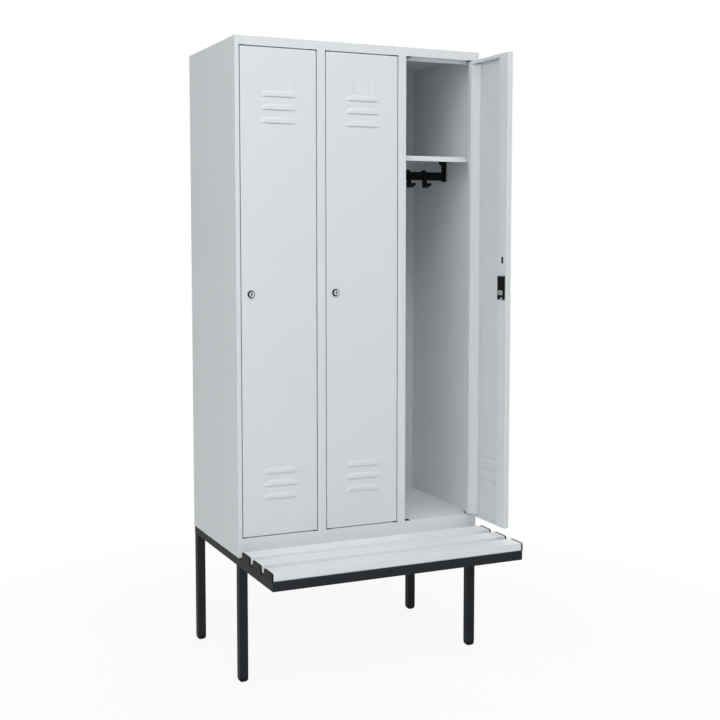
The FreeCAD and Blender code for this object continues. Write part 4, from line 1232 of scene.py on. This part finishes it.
class LOCKER_OT_stage(Operator):
    """Pale floor, soft studio light and the camera"""
    bl_idname = "locker.stage"
    bl_label = "Stage"

    def execute(self, context):
        scene = context.scene
        sizes = scene.locker.stage
        scene.view_settings.view_transform = "Standard"
        self.add_world(scene, sizes)
        self.add_floor(scene, sizes)
        for name in LAMPS:
            watts, edge, place = (getattr(sizes, f"{name}{part}") for part in ("", "_size", "_place"))
            self.add_lamp(f"{name.title()} softbox", watts, edge, place)
        data = bpy.data.cameras.new("Camera")
        data.lens = sizes.lens
        data.shift_y = sizes.rise / IMAGE_WIDTH
        camera = bpy.data.objects.new("Camera", data)
        camera.location = sizes.place
        camera.rotation_euler = Euler((RIGHT_ANGLE - sizes.tilt, 0, -sizes.pan))
        scene.collection.objects.link(camera)
        scene.camera = camera
        return {"FINISHED"}

    @staticmethod
    def add_lamp(name, watts, edge, place):
        """A square soft lamp that faces the cabinet."""
        data = bpy.data.lights.new(name, "AREA")
        data.energy, data.size = watts, edge
        lamp = bpy.data.objects.new(name, data)
        lamp.location = place
        aim = (cad_bounds[0] + cad_bounds[1]) / 2 - Vector(place)
        lamp.rotation_euler = aim.to_track_quat("-Z", "Y").to_euler()
        bpy.context.scene.collection.objects.link(lamp)

    @staticmethod
    def seen(tree):
        """One for a ray that the eye follows, straight or through gloss or glass."""
        rays = add_node(tree, "ShaderNodeLightPath").outputs
        shown = add_node(tree, "ShaderNodeMath", {"operation": "MAXIMUM"},
                         {0: rays["Is Camera Ray"], 1: rays["Is Glossy Ray"]})
        return add_node(tree, "ShaderNodeMath", {"operation": "MAXIMUM"},
                        {0: shown.outputs["Value"], 1: rays["Is Transmission Ray"]}).outputs["Value"]

    def add_world(self, scene, sizes):
        """White to the eye, and an even soft light on the object."""
        world = bpy.data.worlds.new("Studio")
        world.use_nodes = True
        scene.world = world
        tree = world.node_tree
        tree.nodes.clear()
        light = add_node(tree, "ShaderNodeBackground", None, {"Color": WHITE, "Strength": sizes.sky})
        backdrop = add_node(tree, "ShaderNodeBackground", None, {"Color": WHITE, "Strength": 1})
        both = add_node(tree, "ShaderNodeMixShader", None,
                        {0: self.seen(tree), 1: light.outputs["Background"],
                         2: backdrop.outputs["Background"]})
        add_node(tree, "ShaderNodeOutputWorld", None, {"Surface": both.outputs["Shader"]})

    def add_floor(self, scene, sizes):
        """A matt floor that carries the shadow near the object and turns to plain white farther out."""
        material, tree, place, output = new_material("Matt painted floor")
        grain = add_node(tree, "ShaderNodeTexNoise", None,
                         {"Vector": place, "Scale": per_metre(250), "Detail": 2, "Roughness": 0.5})
        tint = scene.locker.finish.floor
        tone = add_node(tree, "ShaderNodeMix", {"data_type": "RGBA"},
                        {0: grain.outputs["Fac"], 6: shade(tint, 0.995), 7: shade(tint, 1.005)})
        matt = add_node(tree, "ShaderNodeBsdfPrincipled", None,
                        {"Base Color": tone.outputs[2], "Roughness": 0.9, "Specular IOR Level": 0})
        away = add_node(tree, "ShaderNodeVectorMath", {"operation": "LENGTH"}, {0: place})
        share = add_node(tree, "ShaderNodeMapRange", {"interpolation_type": "SMOOTHSTEP"},
                         {"Value": away.outputs["Value"], "From Min": sizes.shadow_start,
                          "From Max": sizes.shadow_end, "To Min": sizes.floor_white})
        shown = add_node(tree, "ShaderNodeMath", {"operation": "MULTIPLY"},
                         {0: share.outputs[0], 1: self.seen(tree)})
        white = add_node(tree, "ShaderNodeEmission", None, {"Color": WHITE, "Strength": 1})
        both = add_node(tree, "ShaderNodeMixShader", None,
                        {0: shown.outputs["Value"], 1: matt.outputs["BSDF"], 2: white.outputs["Emission"]})
        tree.links.new(both.outputs["Shader"], output.inputs["Surface"])
        bm = bmesh.new()
        bmesh.ops.create_circle(bm, cap_ends=True, segments=TURN_STEPS, radius=sizes.floor_radius)
        floor = new_object("studio_floor", bm)
        floor.data.materials.append(material)


OPERATORS = (
    LOCKER_OT_shell, LOCKER_OT_panels, LOCKER_OT_doors, LOCKER_OT_locks, LOCKER_OT_tubes, LOCKER_OT_feet,
    LOCKER_OT_bench, LOCKER_OT_hooks, LOCKER_OT_bushes, LOCKER_OT_stage,
)


class LOCKER_PT_build(Panel):
    """Pieces of the locker with bench, and the sizes and colours that they follow"""
    bl_idname = "LOCKER_PT_build"
    bl_label = "Locker with bench"
    bl_space_type = "VIEW_3D"
    bl_region_type = "UI"
    bl_category = "Locker"

    def draw(self, context):
        for operator in OPERATORS:
            self.layout.operator(operator.bl_idname)
        for name in Locker.__annotations__:
            group = getattr(context.scene.locker, name)
            column = self.layout.column(heading=name.title())
            for field in type(group).__annotations__:
                column.prop(group, field)


CLASSES = (
    CabinetSizes, DoorSizes, LockSizes, FrameSizes, BenchSizes, CompartmentSizes, Finishes, StageSizes,
    Locker, *OPERATORS, LOCKER_PT_build,
)


def register():
    for entry in CLASSES:
        bpy.utils.register_class(entry)
    bpy.types.Scene.locker = PointerProperty(type=Locker)


def unregister():
    del bpy.types.Scene.locker
    for entry in reversed(CLASSES):
        bpy.utils.unregister_class(entry)


def main():
    register()
    for operator in OPERATORS:
        getattr(bpy.ops.locker, operator.bl_idname.split(".")[1])()


if __name__ == "__main__":
    main()
